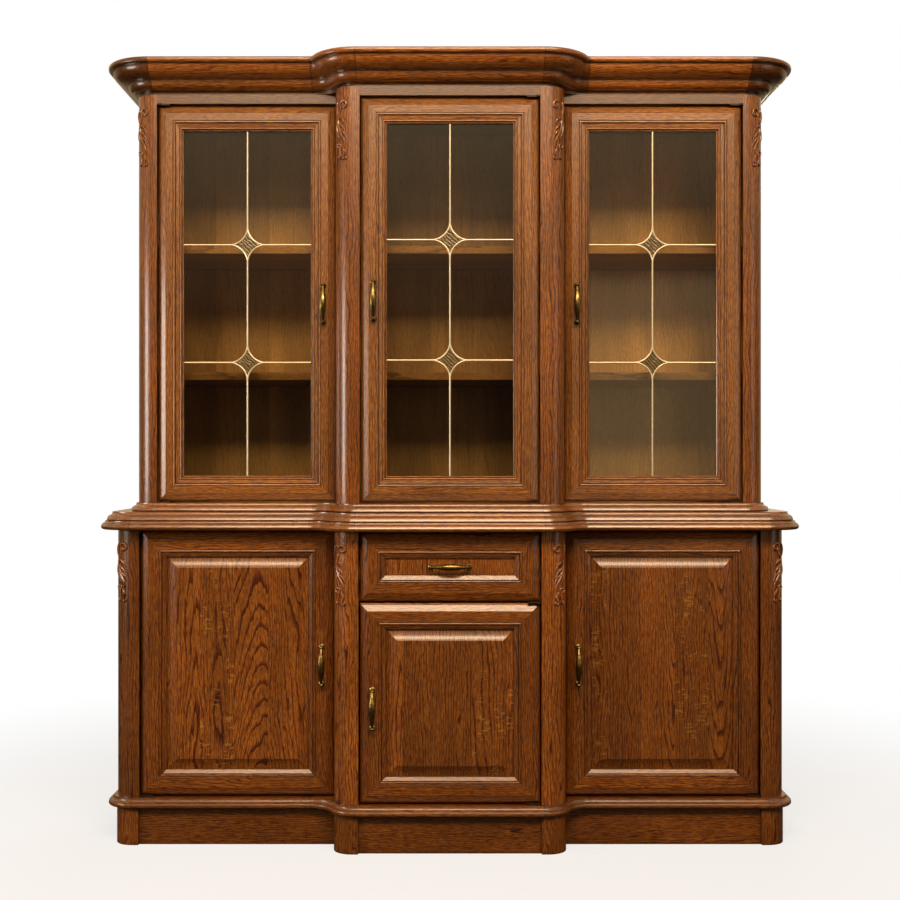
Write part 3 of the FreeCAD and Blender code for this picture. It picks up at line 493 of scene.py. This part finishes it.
def carving(name, middle, hand, top, material):
    """Leaves on the quarter round about a middle; hand is -1 for a post on the left and 1 on the right."""
    paths = [(size, smooth_path(places)) for size, places in CARVED_STROKES]
    for size, (across, down), outer, inner, turns, start in CARVED_SCROLLS:
        spiral = []
        for step in range(SCROLL_STEPS + 1):
            reach = outer + (inner - outer) * step / SCROLL_STEPS
            angle = math.radians(start + 360 * turns * step / SCROLL_STEPS)
            spiral.append(Vector((across + reach * math.cos(angle), down + reach * math.sin(angle))))
        paths.append((size, spiral))
    points, faces = [], []
    for size, path in paths:
        base = len(points)
        for index, spot in enumerate(path):
            run = (path[min(index + 1, len(path) - 1)] - path[max(index - 1, 0)]).normalized()
            share = index / (len(path) - 1)
            # A stroke is fullest just before its middle, and runs out to a fine tip
            swell = CARVED_TIP + (1 - CARVED_TIP) * math.sin(math.pi * min(share * 1.15, 1.0)) ** 0.7
            for step in range(CARVED_RING):
                turn = math.pi * step / (CARVED_RING - 1)
                aside = math.cos(turn) * size * swell * CARVED_WIDTH
                across = spot.x - run.y * aside
                down = spot.y + run.x * aside
                reach = POST_RADIUS + CARVED_RISE * swell * math.sin(turn) - CARVED_SINK
                angle = CARVED_FACING + across / POST_RADIUS
                points.append(((middle[0] + hand * reach * math.cos(angle)) * MM,
                               (middle[1] - reach * math.sin(angle)) * MM,
                               top - down * CARVED_STRETCH * MM))
        for index in range(len(path) - 1):
            first = base + index * CARVED_RING
            for step in range(CARVED_RING):
                here = first + step
                beside = first + (step + 1) % CARVED_RING
                face = (here, beside, beside + CARVED_RING, here + CARVED_RING)
                faces.append(face if hand < 0 else face[::-1])
        for end, flip in ((0, hand < 0), (len(path) - 1, hand > 0)):
            cap = tuple(base + end * CARVED_RING + step for step in range(CARVED_RING))
            faces.append(cap[::-1] if flip else cap)
    finished(name, points, faces, (material,), "carcass")


# The leaves catch the light on their backs, and painted shade from the corner mask lies dark between them
carved_oak = stained_oak("lacquered oak, carved", Z, X, 6.0, seed=8.0, tone=1.2)
for group in ("lower_end", "lower_break", "upper_end", "upper_break"):
    low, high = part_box(f"{group}_posts")
    for side, hand, edge in (("left", -1, low.x), ("right", 1, high.x)):
        middle = (edge / MM - hand * POST_RADIUS, low.y / MM + POST_RADIUS)
        carving(f"{group}_{side}_carving", middle, hand, high.z - CARVING_TOP * MM, carved_oak)

# Door and drawer frames: mitred oak, sloped at the outer edge, with a quirk and a small bead round the
# panel, and two beads round the glass. Stiles and rails are separate lengths, glued at the mitres, so the
# grain turns at each of them.
FRAME_THICKNESS = 22
EDGE_SLOPE = ((0, 12), (0.8, 11), (5, 7.6), (20, 0.6), (20.4, 0))
GROOVE = 0.9
BEAD_ROUND = 1.8
BEAD_FOOT = (0.2, 1.6)
QUIRK = 2.2
QUIRK_DEPTH = 4.6
QUIRK_SLANT = 0.3
QUIRK_LIP = 2.2
REBATE = (9, 11)
MITRE_GAP = 0.12
CREASE = math.radians(10)


def frame_profile(width, beads, last_fall):
    """A frame member's section, as insets from its outer edge and depths behind its face, in millimetres.

    Its edge slopes. Round the panel run one or two beads, each given by its inset, width and depth, with a
    groove before it, and a quirk and a slope after it.
    """
    points = [(0, FRAME_THICKNESS)] + list(EDGE_SLOPE)
    ends = [start - GROOVE for start, size, crest in beads[1:]] + [width]
    falls = [crest for start, size, crest in beads[1:]] + [last_fall]
    for (start, size, crest), end, fall in zip(beads, ends, falls):
        half = size / 2
        points += [(start - GROOVE, points[-1][1]), (start - BEAD_FOOT[0], crest + BEAD_FOOT[1])]
        points += quarter((start + half, crest + BEAD_ROUND), (half, BEAD_ROUND), 180, 360, 8)
        quirk_start = start + size
        quirk_end = quirk_start + QUIRK
        points += [(quirk_start + QUIRK_SLANT, crest + QUIRK_DEPTH),
                   (quirk_end - QUIRK_SLANT, crest + QUIRK_DEPTH),
                   (quirk_end, crest + QUIRK_LIP), (end - 1, fall)]
    rebate_width, rebate_depth = REBATE
    front_of_rebate = FRAME_THICKNESS - rebate_depth
    return points + [(width, last_fall + 1), (width, front_of_rebate),
                     (width - rebate_width, front_of_rebate), (width - rebate_width, FRAME_THICKNESS)]


def mitred_frame(name, body, node, profile, upright, level):
    """Four mitred members round the box of the CAD frame."""
    low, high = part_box(node)
    points, faces, slots = [], [], []
    count = len(profile)
    for edge in ("left", "right", "bottom", "top"):
        base = len(points)
        for end in (0, 1):
            for inset_mm, depth_mm in profile:
                inset = inset_mm * MM
                trim = inset + MITRE_GAP * MM
                mitre_x = (low.x + trim, high.x - trim)[end]
                mitre_z = (low.z + trim, high.z - trim)[end]
                x = {"left": low.x + inset, "right": high.x - inset}.get(edge, mitre_x)
                z = {"bottom": low.z + inset, "top": high.z - inset}.get(edge, mitre_z)
                points.append((x, low.y + depth_mm * MM, z))
        flip = edge in ("left", "top")
        for index in range(count):
            following = (index + 1) % count
            face = (base + index, base + following, base + count + following, base + count + index)
            faces.append(face if flip else face[::-1])
        start = tuple(range(base, base + count))
        end = tuple(range(base + count, base + 2 * count))
        faces += [start[::-1], end] if flip else [start, end[::-1]]
        slots += [0 if edge in ("left", "right") else 1] * (count + 2)
    finished(name, points, faces, (upright, level), body, (node,), slots, CREASE)


# Straight grain along each member; the stiles are a shade darker than the rails, from the turn of the grain
# and from painted sheen on the level rails
stile_oak = stained_oak("lacquered oak, stiles", Z, X, 5.0, arch=0.01, seed=16.0, tone=0.86)
door_rail_oak = stained_oak("lacquered oak, rails", X, Z, 5.0, arch=0.01, seed=17.0, tone=1.0)
# The glazed doors' frames are a lighter, more golden copy of the same oak: painted light and sheen for the
# doors high up in the light
SHEEN_LIT_OAK = ("#2E1304", "#673312", "#A46D2F")
sheen_lit_stile_oak = stained_oak("lacquered oak painted with sheen, stiles", Z, X, 5.0, arch=0.01, seed=16.0, tone=0.96,
                              tones=SHEEN_LIT_OAK, figure=0.8)
sheen_lit_rail_oak = stained_oak("lacquered oak painted with sheen, rails", X, Z, 5.0, arch=0.01, seed=17.0,
                             tones=SHEEN_LIT_OAK, figure=0.8)
LOWER_MEMBER = 67
DRAWER_MEMBER = 66
GLAZED_MEMBER = 67
lower_profile = frame_profile(LOWER_MEMBER, [(49.5, 5.5, 0)], 6.8)
drawer_profile = frame_profile(DRAWER_MEMBER, [(47, 5.5, 0)], 7.4)
glazed_profile = frame_profile(GLAZED_MEMBER, [(40, 5.5, 0), (57, 5, 3.4)], 7.2)
BAYS = ("left", "centre", "right")
for bay in BAYS:
    mitred_frame(f"lower_{bay}_frame", f"lower_{bay}_door", f"lower_{bay}_door_frame", lower_profile,
                 stile_oak, door_rail_oak)
    mitred_frame(f"upper_{bay}_frame", f"upper_{bay}_door", f"upper_{bay}_door_frame", glazed_profile,
                 sheen_lit_stile_oak, sheen_lit_rail_oak)
mitred_frame("drawer_frame", "drawer", "drawer_front_frame", drawer_profile, stile_oak, door_rail_oak)

# Raised panels: solid oak planks glued side by side, upright, with a wide bevel worked round the field so
# that the edge fits the groove of the frame. The drawer front has a thin flat panel with its grain upright
# too.
PANEL_TONGUE = 8
PANEL_STEP = 9
PANEL_COVE = 27
PANEL_RISE = 11
COVE_STEPS = 8
# The bevel is a shallow hollow, gentle by the frame and steepest at the field, where it ends in an arris
COVE_START = math.radians(8)
COVE_END = 2 * math.atan2(PANEL_RISE, PANEL_COVE) - COVE_START
COVE_RADIUS = PANEL_COVE / (math.sin(COVE_END) - math.sin(COVE_START))
# Nested arches, dark pores and groups of pale flecks, which change from plank to plank
panel_oak = stained_oak("lacquered oak, glued-up panels", Z, X, 6.0, plank_mm=88, arch=0.085, fleck=0.42,
                        seed=18.0, tone=1.0)
for bay in BAYS:
    node = f"lower_{bay}_door_panel"
    low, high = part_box(node)
    ground = low.y + PANEL_RISE * MM
    rings = [(0, ground + PANEL_TONGUE * MM), (0, ground), (PANEL_STEP, ground)]
    for step in range(1, COVE_STEPS + 1):
        turn = COVE_START + (COVE_END - COVE_START) * step / COVE_STEPS
        inset_mm = PANEL_STEP + COVE_RADIUS * (math.sin(turn) - math.sin(COVE_START))
        rings.append((inset_mm, ground - COVE_RADIUS * (math.cos(COVE_START) - math.cos(turn)) * MM))
    points, faces = [], []
    for inset_mm, y in rings:
        left, right = low.x + inset_mm * MM, high.x - inset_mm * MM
        bottom, top = low.z + inset_mm * MM, high.z - inset_mm * MM
        points += [(left, y, bottom), (right, y, bottom), (right, y, top), (left, y, top)]
    for first in range(0, len(points) - 4, 4):
        for corner in range(4):
            here = first + corner
            beside = first + (corner + 1) % 4
            faces.append((here, beside, beside + 4, here + 4))
    faces += [(3, 2, 1, 0), tuple(range(len(points) - 4, len(points)))]
    finished(f"lower_{bay}_panel", points, faces, (panel_oak,), f"lower_{bay}_door", (node,),
             sharp=CREASE)
# A quiet, close grain from one quarter-sawn board
drawer_oak = stained_oak("lacquered oak, drawer panel", Z, X, 4.0, plank_mm=150, seed=19.0, tone=1.05)
dress(drawer_oak, "drawer_front_panel")

# Drawer box: sides and back of pale oak, planed, with a clear lacquer and no stain. They are glued up
# behind the framed front and run on steel slides.
PALE_FIBRE = (83.3, 2.5)
# Straw-coloured fibres that run from front to back, under a low sheen; they are drawn coarse enough to show
pale_oak, pale_tree, pale_shader = bare_material("clear-lacquered pale oak, drawer box")
pale_place = add_node(pale_tree, "TexCoord")["Object"]
pale_long, pale_wide = [1 / (size * MM) for size in PALE_FIBRE]
pale_spot = add_node(pale_tree, "VectorMath", {0: pale_place, 1: (pale_wide, pale_long, pale_wide)},
                     operation="MULTIPLY")[0]
pale_fibre = add_node(pale_tree, "TexNoise", {"Vector": pale_spot, "Scale": 1.0, "Detail": 3.0})[0]
pale_colour = add_node(pale_tree, "Mix", {0: pale_fibre, 6: linear("#A27541"), 7: linear("#C89D67")},
                       data_type="RGBA")[2]
pale_tree.links.new(pale_colour, pale_shader.inputs["Base Color"])
pale_shader.inputs["Roughness"].default_value = 0.5
dress(pale_oak, "drawer_sides", "drawer_back")

# Panes: 4 mm float glass with polished faces, laid from behind into the rebates of the three hutch doors,
# where the inner bead of the frame covers its edge.
GLASS_IOR = 1.52
# The eye goes straight through it, and finds a soft reflection that grows at a slant
pane, pane_tree, pane_shader = bare_material("float glass, polished")
pane_tree.nodes.remove(pane_shader)
clear = add_node(pane_tree, "BsdfTransparent", {"Color": linear("#F2F4EE")})[0]
gloss = add_node(pane_tree, "BsdfGlossy", {"Color": linear("#FFFFFF"), "Roughness": 0.08})[0]
share = add_node(pane_tree, "Fresnel", {"IOR": GLASS_IOR})[0]
pane_mix = add_node(pane_tree, "MixShader", {0: share, 1: clear, 2: gloss})[0]
pane_tree.links.new(pane_mix, pane_tree.nodes["Material Output"].inputs["Surface"])
dress(pane, *[f"upper_{bay}_door_glass" for bay in BAYS])

# Cames: half-round brass strips stuck to the pane, one upright and two across, which open into a
# four-pointed star where they cross. Each star holds a piece of pale amber ribbed glass.
CAME_WIDTH = 4.4
CAME_HEIGHT = 2.2
CAME_SPREAD = 310
CAME_STEPS = 6
STAR_REACH = 43
STAR_WAIST = 20
STAR_STEPS = 12
STAR_THICKNESS = 1.2


def clouded_metal(name, dull, bright, cloud_mm, metallic, roughness):
    """A metal whose colour clouds softly from a dull tone to a bright one."""
    material, tree, shader = bare_material(name)
    place = add_node(tree, "TexCoord")["Object"]
    cloud = add_node(tree, "TexNoise", {"Vector": place, "Scale": 1 / (cloud_mm * MM), "Detail": 2.0})[0]
    colour = add_node(tree, "Mix", {0: cloud, 6: linear(dull), 7: linear(bright)}, data_type="RGBA")[2]
    tree.links.new(colour, shader.inputs["Base Color"])
    shader.inputs["Metallic"].default_value = metallic
    shader.inputs["Roughness"].default_value = roughness
    return material


# Pale gold lines that stay bright against the dark inside
brass = clouded_metal("rolled brass strip, lacquered", "#D8C6A0", "#F4E8CE", 16.7, 0.6, 0.35)

# Uneven amber ribs that hide what lies behind them and glint in turn. A wave repeats every 0.444 of its
# units across its diagonal bands.
RIB_MM = 7.25
WAVE_REPEAT = 0.444
ribbed, ribbed_tree, ribbed_shader = bare_material("ribbed glass, pale amber")
ribbed_place = add_node(ribbed_tree, "TexCoord")["Object"]
ribs = add_node(ribbed_tree, "TexWave", {"Vector": ribbed_place, "Scale": WAVE_REPEAT / (RIB_MM * MM),
                                         "Distortion": 6.0, "Detail": 2.0}, bands_direction="DIAGONAL")[0]
ribbed_colour = add_node(ribbed_tree, "Mix", {0: ribs, 6: linear("#493B20"), 7: linear("#79643E")},
                         data_type="RGBA")[2]
ribbed_bump = add_node(ribbed_tree, "Bump", {"Strength": 0.6, "Distance": 1 * MM, "Height": ribs})[0]
ribbed_tree.links.new(ribbed_colour, ribbed_shader.inputs["Base Color"])
ribbed_tree.links.new(ribbed_bump, ribbed_shader.inputs["Normal"])
ribbed_shader.inputs["Roughness"].default_value = 0.2


def star_side(quadrant):
    """Points of one hollow side of the star, as places across and up in millimetres."""
    chord_half = STAR_REACH / math.sqrt(2)
    sag = chord_half - STAR_WAIST
    radius = (chord_half ** 2 + sag ** 2) / (2 * sag)
    span = math.asin(chord_half / radius)
    away = STAR_WAIST + radius
    facing = math.radians(45 + 90 * quadrant)
    middle = (away * math.cos(facing), away * math.sin(facing))
    turns = [facing + math.pi + span * (2 * step / STAR_STEPS - 1) for step in range(STAR_STEPS + 1)]
    return [(middle[0] + radius * math.cos(turn), middle[1] + radius * math.sin(turn)) for turn in turns]


def came_strip(points, faces, line, plane):
    """Add a half-round strip along a line of places on the pane."""
    base = len(points)
    for index, (x, z) in enumerate(line):
        before = Vector(line[max(index - 1, 0)])
        after = Vector(line[min(index + 1, len(line) - 1)])
        run = (after - before).normalized()
        for step in range(CAME_STEPS + 1):
            turn = math.pi * step / CAME_STEPS
            side = math.cos(turn) * CAME_WIDTH / 2 * MM
            points.append((x - run.y * side, plane - math.sin(turn) * CAME_HEIGHT * MM, z + run.x * side))
    ring = CAME_STEPS + 1
    for index in range(len(line) - 1):
        for step in range(ring):
            here = base + index * ring + step
            beside = base + index * ring + (step + 1) % ring
            faces.append((here, beside, beside + ring, here + ring))
    faces.append(tuple(base + step for step in reversed(range(ring))))
    faces.append(tuple(base + (len(line) - 1) * ring + step for step in range(ring)))


for bay in BAYS:
    low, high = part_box(f"upper_{bay}_door_frame")
    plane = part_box(f"upper_{bay}_door_glass")[0].y
    inset = GLAZED_MEMBER * MM
    middle_x = (low.x + high.x) / 2
    middle_z = (low.z + high.z) / 2
    levels = [middle_z - CAME_SPREAD / 2 * MM, middle_z + CAME_SPREAD / 2 * MM]
    reach = STAR_REACH * MM
    points, faces = [], []
    stops = [low.z + inset]
    for level in levels:
        stops += [level - reach, level + reach]
    stops.append(high.z - inset)
    for start, end in zip(stops[::2], stops[1::2]):
        came_strip(points, faces, [(middle_x, start), (middle_x, end)], plane)
    star_points, star_faces = [], []
    for level in levels:
        came_strip(points, faces, [(low.x + inset, level), (middle_x - reach, level)], plane)
        came_strip(points, faces, [(middle_x + reach, level), (high.x - inset, level)], plane)
        outline = []
        for quadrant in range(4):
            side = [(middle_x + across * MM, level + up * MM) for across, up in star_side(quadrant)]
            came_strip(points, faces, side, plane)
            outline += side[::-1][:-1]
        base = len(star_points)
        for depth in (-STAR_THICKNESS, 0.0):
            star_points += [(x, plane + depth * MM, z) for x, z in outline]
        count = len(outline)
        star_faces.append(tuple(base + index for index in range(count)))
        star_faces.append(tuple(base + count + index for index in reversed(range(count))))
        for index in range(count):
            here = base + index
            beside = base + (index + 1) % count
            star_faces.append((here, here + count, beside + count, beside))
    finished(f"upper_{bay}_cames", points, faces, (brass,), f"upper_{bay}_door",
             (f"upper_{bay}_door_cames",))
    finished(f"upper_{bay}_stars", star_points, star_faces, (ribbed,), f"upper_{bay}_door")

# Handles: cast brass bows, antiqued dark in the hollows and rubbed bright on the belly. Each ends in two
# flared buttons on short feet, screwed from behind through the stile.
HANDLE_SPAN = 96
HANDLE_REACH = 24
HANDLE_FOOT = 14
BELLY = 8.6
BELLY_FULLNESS = 1.7
BELLY_FLATNESS = 0.8
NECK = 3.1
COLLAR = 1.2
COLLAR_SHARE = 0.1
BUTTON = (7.4, 3.6)
# Heights above the stile and radii of the turned foot, from its rosette to the bow
FOOT = ((0.0, 7.6), (1.4, 7.6), (2.6, 5.928), (3.6, 4.4), (6.0, 3.6), (HANDLE_FOOT, 4.2))
BOW_STEPS = 28
BOW_SIDES = 16
BUTTON_STEPS = 9
TURNED_SIDES = 18
PATINA_MM = 7.1
# Worn patches shine a clear old gold, and the patina between them is brown and duller
antique, antique_tree, antique_shader = bare_material("cast brass, antiqued and rubbed")
antique_place = add_node(antique_tree, "TexCoord")["Object"]
patina = add_node(antique_tree, "TexNoise", {"Vector": antique_place, "Scale": 1 / (PATINA_MM * MM),
                                             "Detail": 3.0})[0]
worn = add_node(antique_tree, "MapRange", {0: patina, 1: 0.35, 2: 0.7}, interpolation_type="SMOOTHSTEP")[0]
antique_colour = add_node(antique_tree, "Mix", {0: worn, 6: linear("#5E4D28"), 7: linear("#94804F")},
                          data_type="RGBA")[2]
antique_rough = add_node(antique_tree, "MapRange", {0: worn, 3: 0.38, 4: 0.26})[0]
antique_tree.links.new(antique_colour, antique_shader.inputs["Base Color"])
antique_tree.links.new(antique_rough, antique_shader.inputs["Roughness"])
antique_shader.inputs["Metallic"].default_value = 1.0


def add_rings(points, faces, rings, sides, place_at):
    """Add a closed shape of rings, each given by its middle and its two half-sizes as vectors."""
    base = len(points)
    for middle, first, second in rings:
        for side in range(sides):
            turn = 2 * math.pi * side / sides
            points.append(place_at(middle + first * math.cos(turn) + second * math.sin(turn)))
    for ring in range(len(rings) - 1):
        for side in range(sides):
            here = base + ring * sides + side
            beside = base + ring * sides + (side + 1) % sides
            faces.append((here, beside, beside + sides, here + sides))
    faces.append(tuple(base + side for side in reversed(range(sides))))
    faces.append(tuple(base + (len(rings) - 1) * sides + side for side in range(sides)))


def bow_handle(name, body, node, level):
    """A bow handle where its CAD node sits; places are along the handle, out from the face and across."""
    low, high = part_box(node)
    middle = (low + high) / 2
    along_axis = Vector((1, 0, 0)) if level else Vector((0, 0, 1))
    side_axis = Vector((0, 0, -1)) if level else Vector((1, 0, 0))
    foot = Vector((middle.x, high.y, middle.z))

    def place_at(spot):
        return tuple(foot + (along_axis * spot.x + Vector((0, -1, 0)) * spot.y + side_axis * spot.z) * MM)

    points, faces = [], []
    half = HANDLE_SPAN / 2
    sag = HANDLE_REACH - HANDLE_FOOT
    radius = (half ** 2 + sag ** 2) / (2 * sag)
    span = math.asin(half / radius)
    bow = []
    for step in range(BOW_STEPS + 1):
        share = 2 * step / BOW_STEPS - 1
        turn = span * share
        thick = NECK + (BELLY - NECK) * math.cos(share * math.pi / 2) ** BELLY_FULLNESS
        thick += COLLAR * max(0.0, abs(share) - (1 - COLLAR_SHARE)) / COLLAR_SHARE
        outward = Vector((math.sin(turn), math.cos(turn), 0))
        spot = Vector((0, HANDLE_REACH - radius, 0)) + outward * radius
        bow.append((spot, outward * thick * BELLY_FLATNESS, Vector((0, 0, thick))))
    add_rings(points, faces, bow, BOW_SIDES, place_at)
    for end in (-half, half):
        button = []
        for step in range(BUTTON_STEPS):
            turn = math.pi * (step + 0.5) / BUTTON_STEPS
            size = BUTTON[0] * math.sin(turn)
            spot = Vector((end - math.copysign(BUTTON[1], end) * math.cos(turn), HANDLE_FOOT, 0))
            button.append((spot, Vector((0, size, 0)), Vector((0, 0, size))))
        add_rings(points, faces, button, TURNED_SIDES, place_at)
        turned = [(Vector((end, out, 0)), Vector((size, 0, 0)), Vector((0, 0, size))) for out, size in FOOT]
        add_rings(points, faces, turned, TURNED_SIDES, place_at)
    finished(name, points, faces, (antique,), body, (node,))


UNITS = ("lower", "upper")
for bay in BAYS:
    for unit in UNITS:
        bow_handle(f"{unit}_{bay}_bow", f"{unit}_{bay}_door", f"{unit}_{bay}_door_handle", False)
bow_handle("drawer_bow", "drawer", "drawer_handle", True)

# Hinges and runners: knife hinges of brass sheet in the gaps above and below each door, and zinc-plated
# steel angles that carry the drawer. All of them are screwed to the oak.
# The leaves' brass is painted nearly as dark as the shade in the gaps, painted shade so that they don't
# catch the eye
gap_shade_brass = clouded_metal("brass sheet, painted dark as the gap shade", "#2E1D0E", "#40291A", 8.33, 0.5, 0.5)
dress(gap_shade_brass, "hinge_brackets", *[f"{unit}_{bay}_door_hinge_leaves" for unit in UNITS for bay in BAYS])
# Zinc shows a cool grey with a faint spangle
steel = clouded_metal("zinc-plated steel, rolled", "#8D9092", "#BFC2C4", 11.1, 1.0, 0.35)
dress(steel, "drawer_tracks", "drawer_slides")

# Stage: a pale floor that keeps the shadow, a soft key from above the front, a window on the left and a
# fill on the right. The backdrop is white to the eye, and half as bright in reflections.
FLOOR_HALF = 7.0
WHITENED = 0.7
WHITE_FROM = 0.9
WHITE_BEYOND = 2.6
floor_mesh = bpy.data.meshes.new("floor")
floor_mesh.from_pydata([(-FLOOR_HALF, -FLOOR_HALF, 0), (FLOOR_HALF, -FLOOR_HALF, 0),
                        (FLOOR_HALF, FLOOR_HALF, 0), (-FLOOR_HALF, FLOOR_HALF, 0)], [], [(0, 1, 2, 3)])
floor = bpy.data.objects.new("floor", floor_mesh)
scene.collection.objects.link(floor)
floor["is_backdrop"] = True
# Matt paint, pale to the eye, which gives little light back, so that undersides stay deep in colour
floor_paint, floor_tree, floor_shader = bare_material("pale studio floor")
floor_shader.inputs["Roughness"].default_value = 0.9
floor_shader.inputs["Specular IOR Level"].default_value = 0.1
seen = add_node(floor_tree, "LightPath")["Is Camera Ray"]
floor_colour = add_node(floor_tree, "Mix", {0: seen, 6: linear("#3C3A37"), 7: linear("#EAE8E4")},
                        data_type="RGBA")[2]
floor_tree.links.new(floor_colour, floor_shader.inputs["Base Color"])
# The eye sees the floor whitened, and wholly white a few metres out, so that it meets the backdrop
glow = add_node(floor_tree, "Emission", {"Color": linear("#FFFFFF"), "Strength": 1.0})[0]
floor_place = add_node(floor_tree, "TexCoord")["Object"]
floor_reach = add_node(floor_tree, "VectorMath", {0: floor_place}, operation="LENGTH")["Value"]
white_share = add_node(floor_tree, "MapRange",
                       {0: floor_reach, 1: WHITE_FROM, 2: WHITE_BEYOND, 3: WHITENED},
                       interpolation_type="SMOOTHSTEP")[0]
white_share = add_node(floor_tree, "Math", {0: seen, 1: white_share}, operation="MULTIPLY")[0]
floor_mix = add_node(floor_tree, "MixShader", {0: white_share, 1: floor_shader.outputs[0], 2: glow})[0]
floor_tree.links.new(floor_mix, floor_tree.nodes["Material Output"].inputs["Surface"])
floor_mesh.materials.append(floor_paint)

AMBIENT = 0.105
DIM_HORIZON = 0.02
MIRRORED_CEILING = 0.85
MIRRORED_WHITE = 0.5
world = bpy.data.worlds.new("studio")
scene.world = world
world.use_nodes = True
world_tree = world.node_tree
background = world_tree.nodes["Background"]
paths = add_node(world_tree, "LightPath")
# Reflections see a bright ceiling, the white backdrop behind the object, and a dim room behind the camera
direction = add_node(world_tree, "TexCoord")["Generated"]
directions = add_node(world_tree, "SeparateXYZ", {0: direction})
overhead = add_node(world_tree, "MapRange",
                    {0: directions[Z], 1: 0.06, 2: 0.32, 3: DIM_HORIZON, 4: MIRRORED_CEILING},
                    interpolation_type="SMOOTHSTEP")[0]
behind = add_node(world_tree, "MapRange", {0: directions[Y], 1: 0.1, 2: 0.6, 4: MIRRORED_WHITE},
                  interpolation_type="SMOOTHSTEP")[0]
mirrored = add_node(world_tree, "Math", {0: overhead, 1: behind}, operation="MAXIMUM")[0]
plain = add_node(world_tree, "Math", {0: paths["Is Camera Ray"], 1: paths["Is Transmission Ray"]},
                 operation="MAXIMUM")[0]
strength = add_node(world_tree, "Mix", {0: paths["Is Glossy Ray"], 2: AMBIENT, 3: mirrored})[0]
strength = add_node(world_tree, "Mix", {0: plain, 2: strength, 3: 1.0})[0]
world_tree.links.new(strength, background.inputs["Strength"])
warmth = add_node(world_tree, "Mix",
                  {0: paths["Is Glossy Ray"], 6: linear("#FFFFFF"), 7: linear("#FFE0B0")},
                  data_type="RGBA")[2]
world_tree.links.new(warmth, background.inputs["Color"])

# Each lamp's place and aim in metres, width and height, watts and colour
for name, spot, aim, sizes, watts, tint in (
        ("key", (0.2, -3.05, 3.55), (0, 0, 1.1), (3.8, 1.1), 182, "#FFE2BC"),
        ("window", (-2.9, -1.4, 1.3), (0, -0.15, 1.3), (1.0, 1.0), 32, "#FFF4E6"),
        ("fill", (2.9, -1.6, 1.4), (0, -0.1, 1.0), (1.2, 1.8), 6, "#FFF0DC"),
        ("back", (0.8, 3.4, 2.6), (0, 0.2, 1.0), (2.6, 1.2), 52, "#FFF2E2"),
        ("card", (1.2, -4.2, 1.3), (0.5, -0.1, 1.3), (1.0, 1.5), 4.2, "#FFD19A")):
    data = bpy.data.lights.new(name, "AREA")
    data.shape = "RECTANGLE"
    data.size, data.size_y = sizes
    data.energy = watts
    data.color = linear(tint)[:3]
    lamp = bpy.data.objects.new(name, data)
    lamp.location = spot
    lamp.rotation_euler = (Vector(aim) - Vector(spot)).to_track_quat("-Z", "Y").to_euler()
    lamp.visible_camera = False
    scene.collection.objects.link(lamp)

# Camera: level, in front of the middle, a little above the counter, as the photograph was taken. Its focal
# length comes from a fit of the perspective, in pixels of the square picture.
FOCAL_PIXELS = 1296
PICTURE_PIXELS = 900
HORIZON_PIXEL = 459
SENSOR_MM = 36
CAMERA_PLACE = (0.0, -3.498, 0.998)
camera_data = bpy.data.cameras.new("camera")
camera_data.sensor_width = SENSOR_MM
camera_data.lens = FOCAL_PIXELS / PICTURE_PIXELS * SENSOR_MM
camera_data.shift_y = (HORIZON_PIXEL - PICTURE_PIXELS / 2) / PICTURE_PIXELS
camera = bpy.data.objects.new("camera", camera_data)
camera.location = CAMERA_PLACE
camera.rotation_euler = (math.radians(90), 0, 0)
scene.collection.objects.link(camera)
scene.camera = camera
scene.view_settings.view_transform = "Standard"

# The box of the dressed part
low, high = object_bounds()
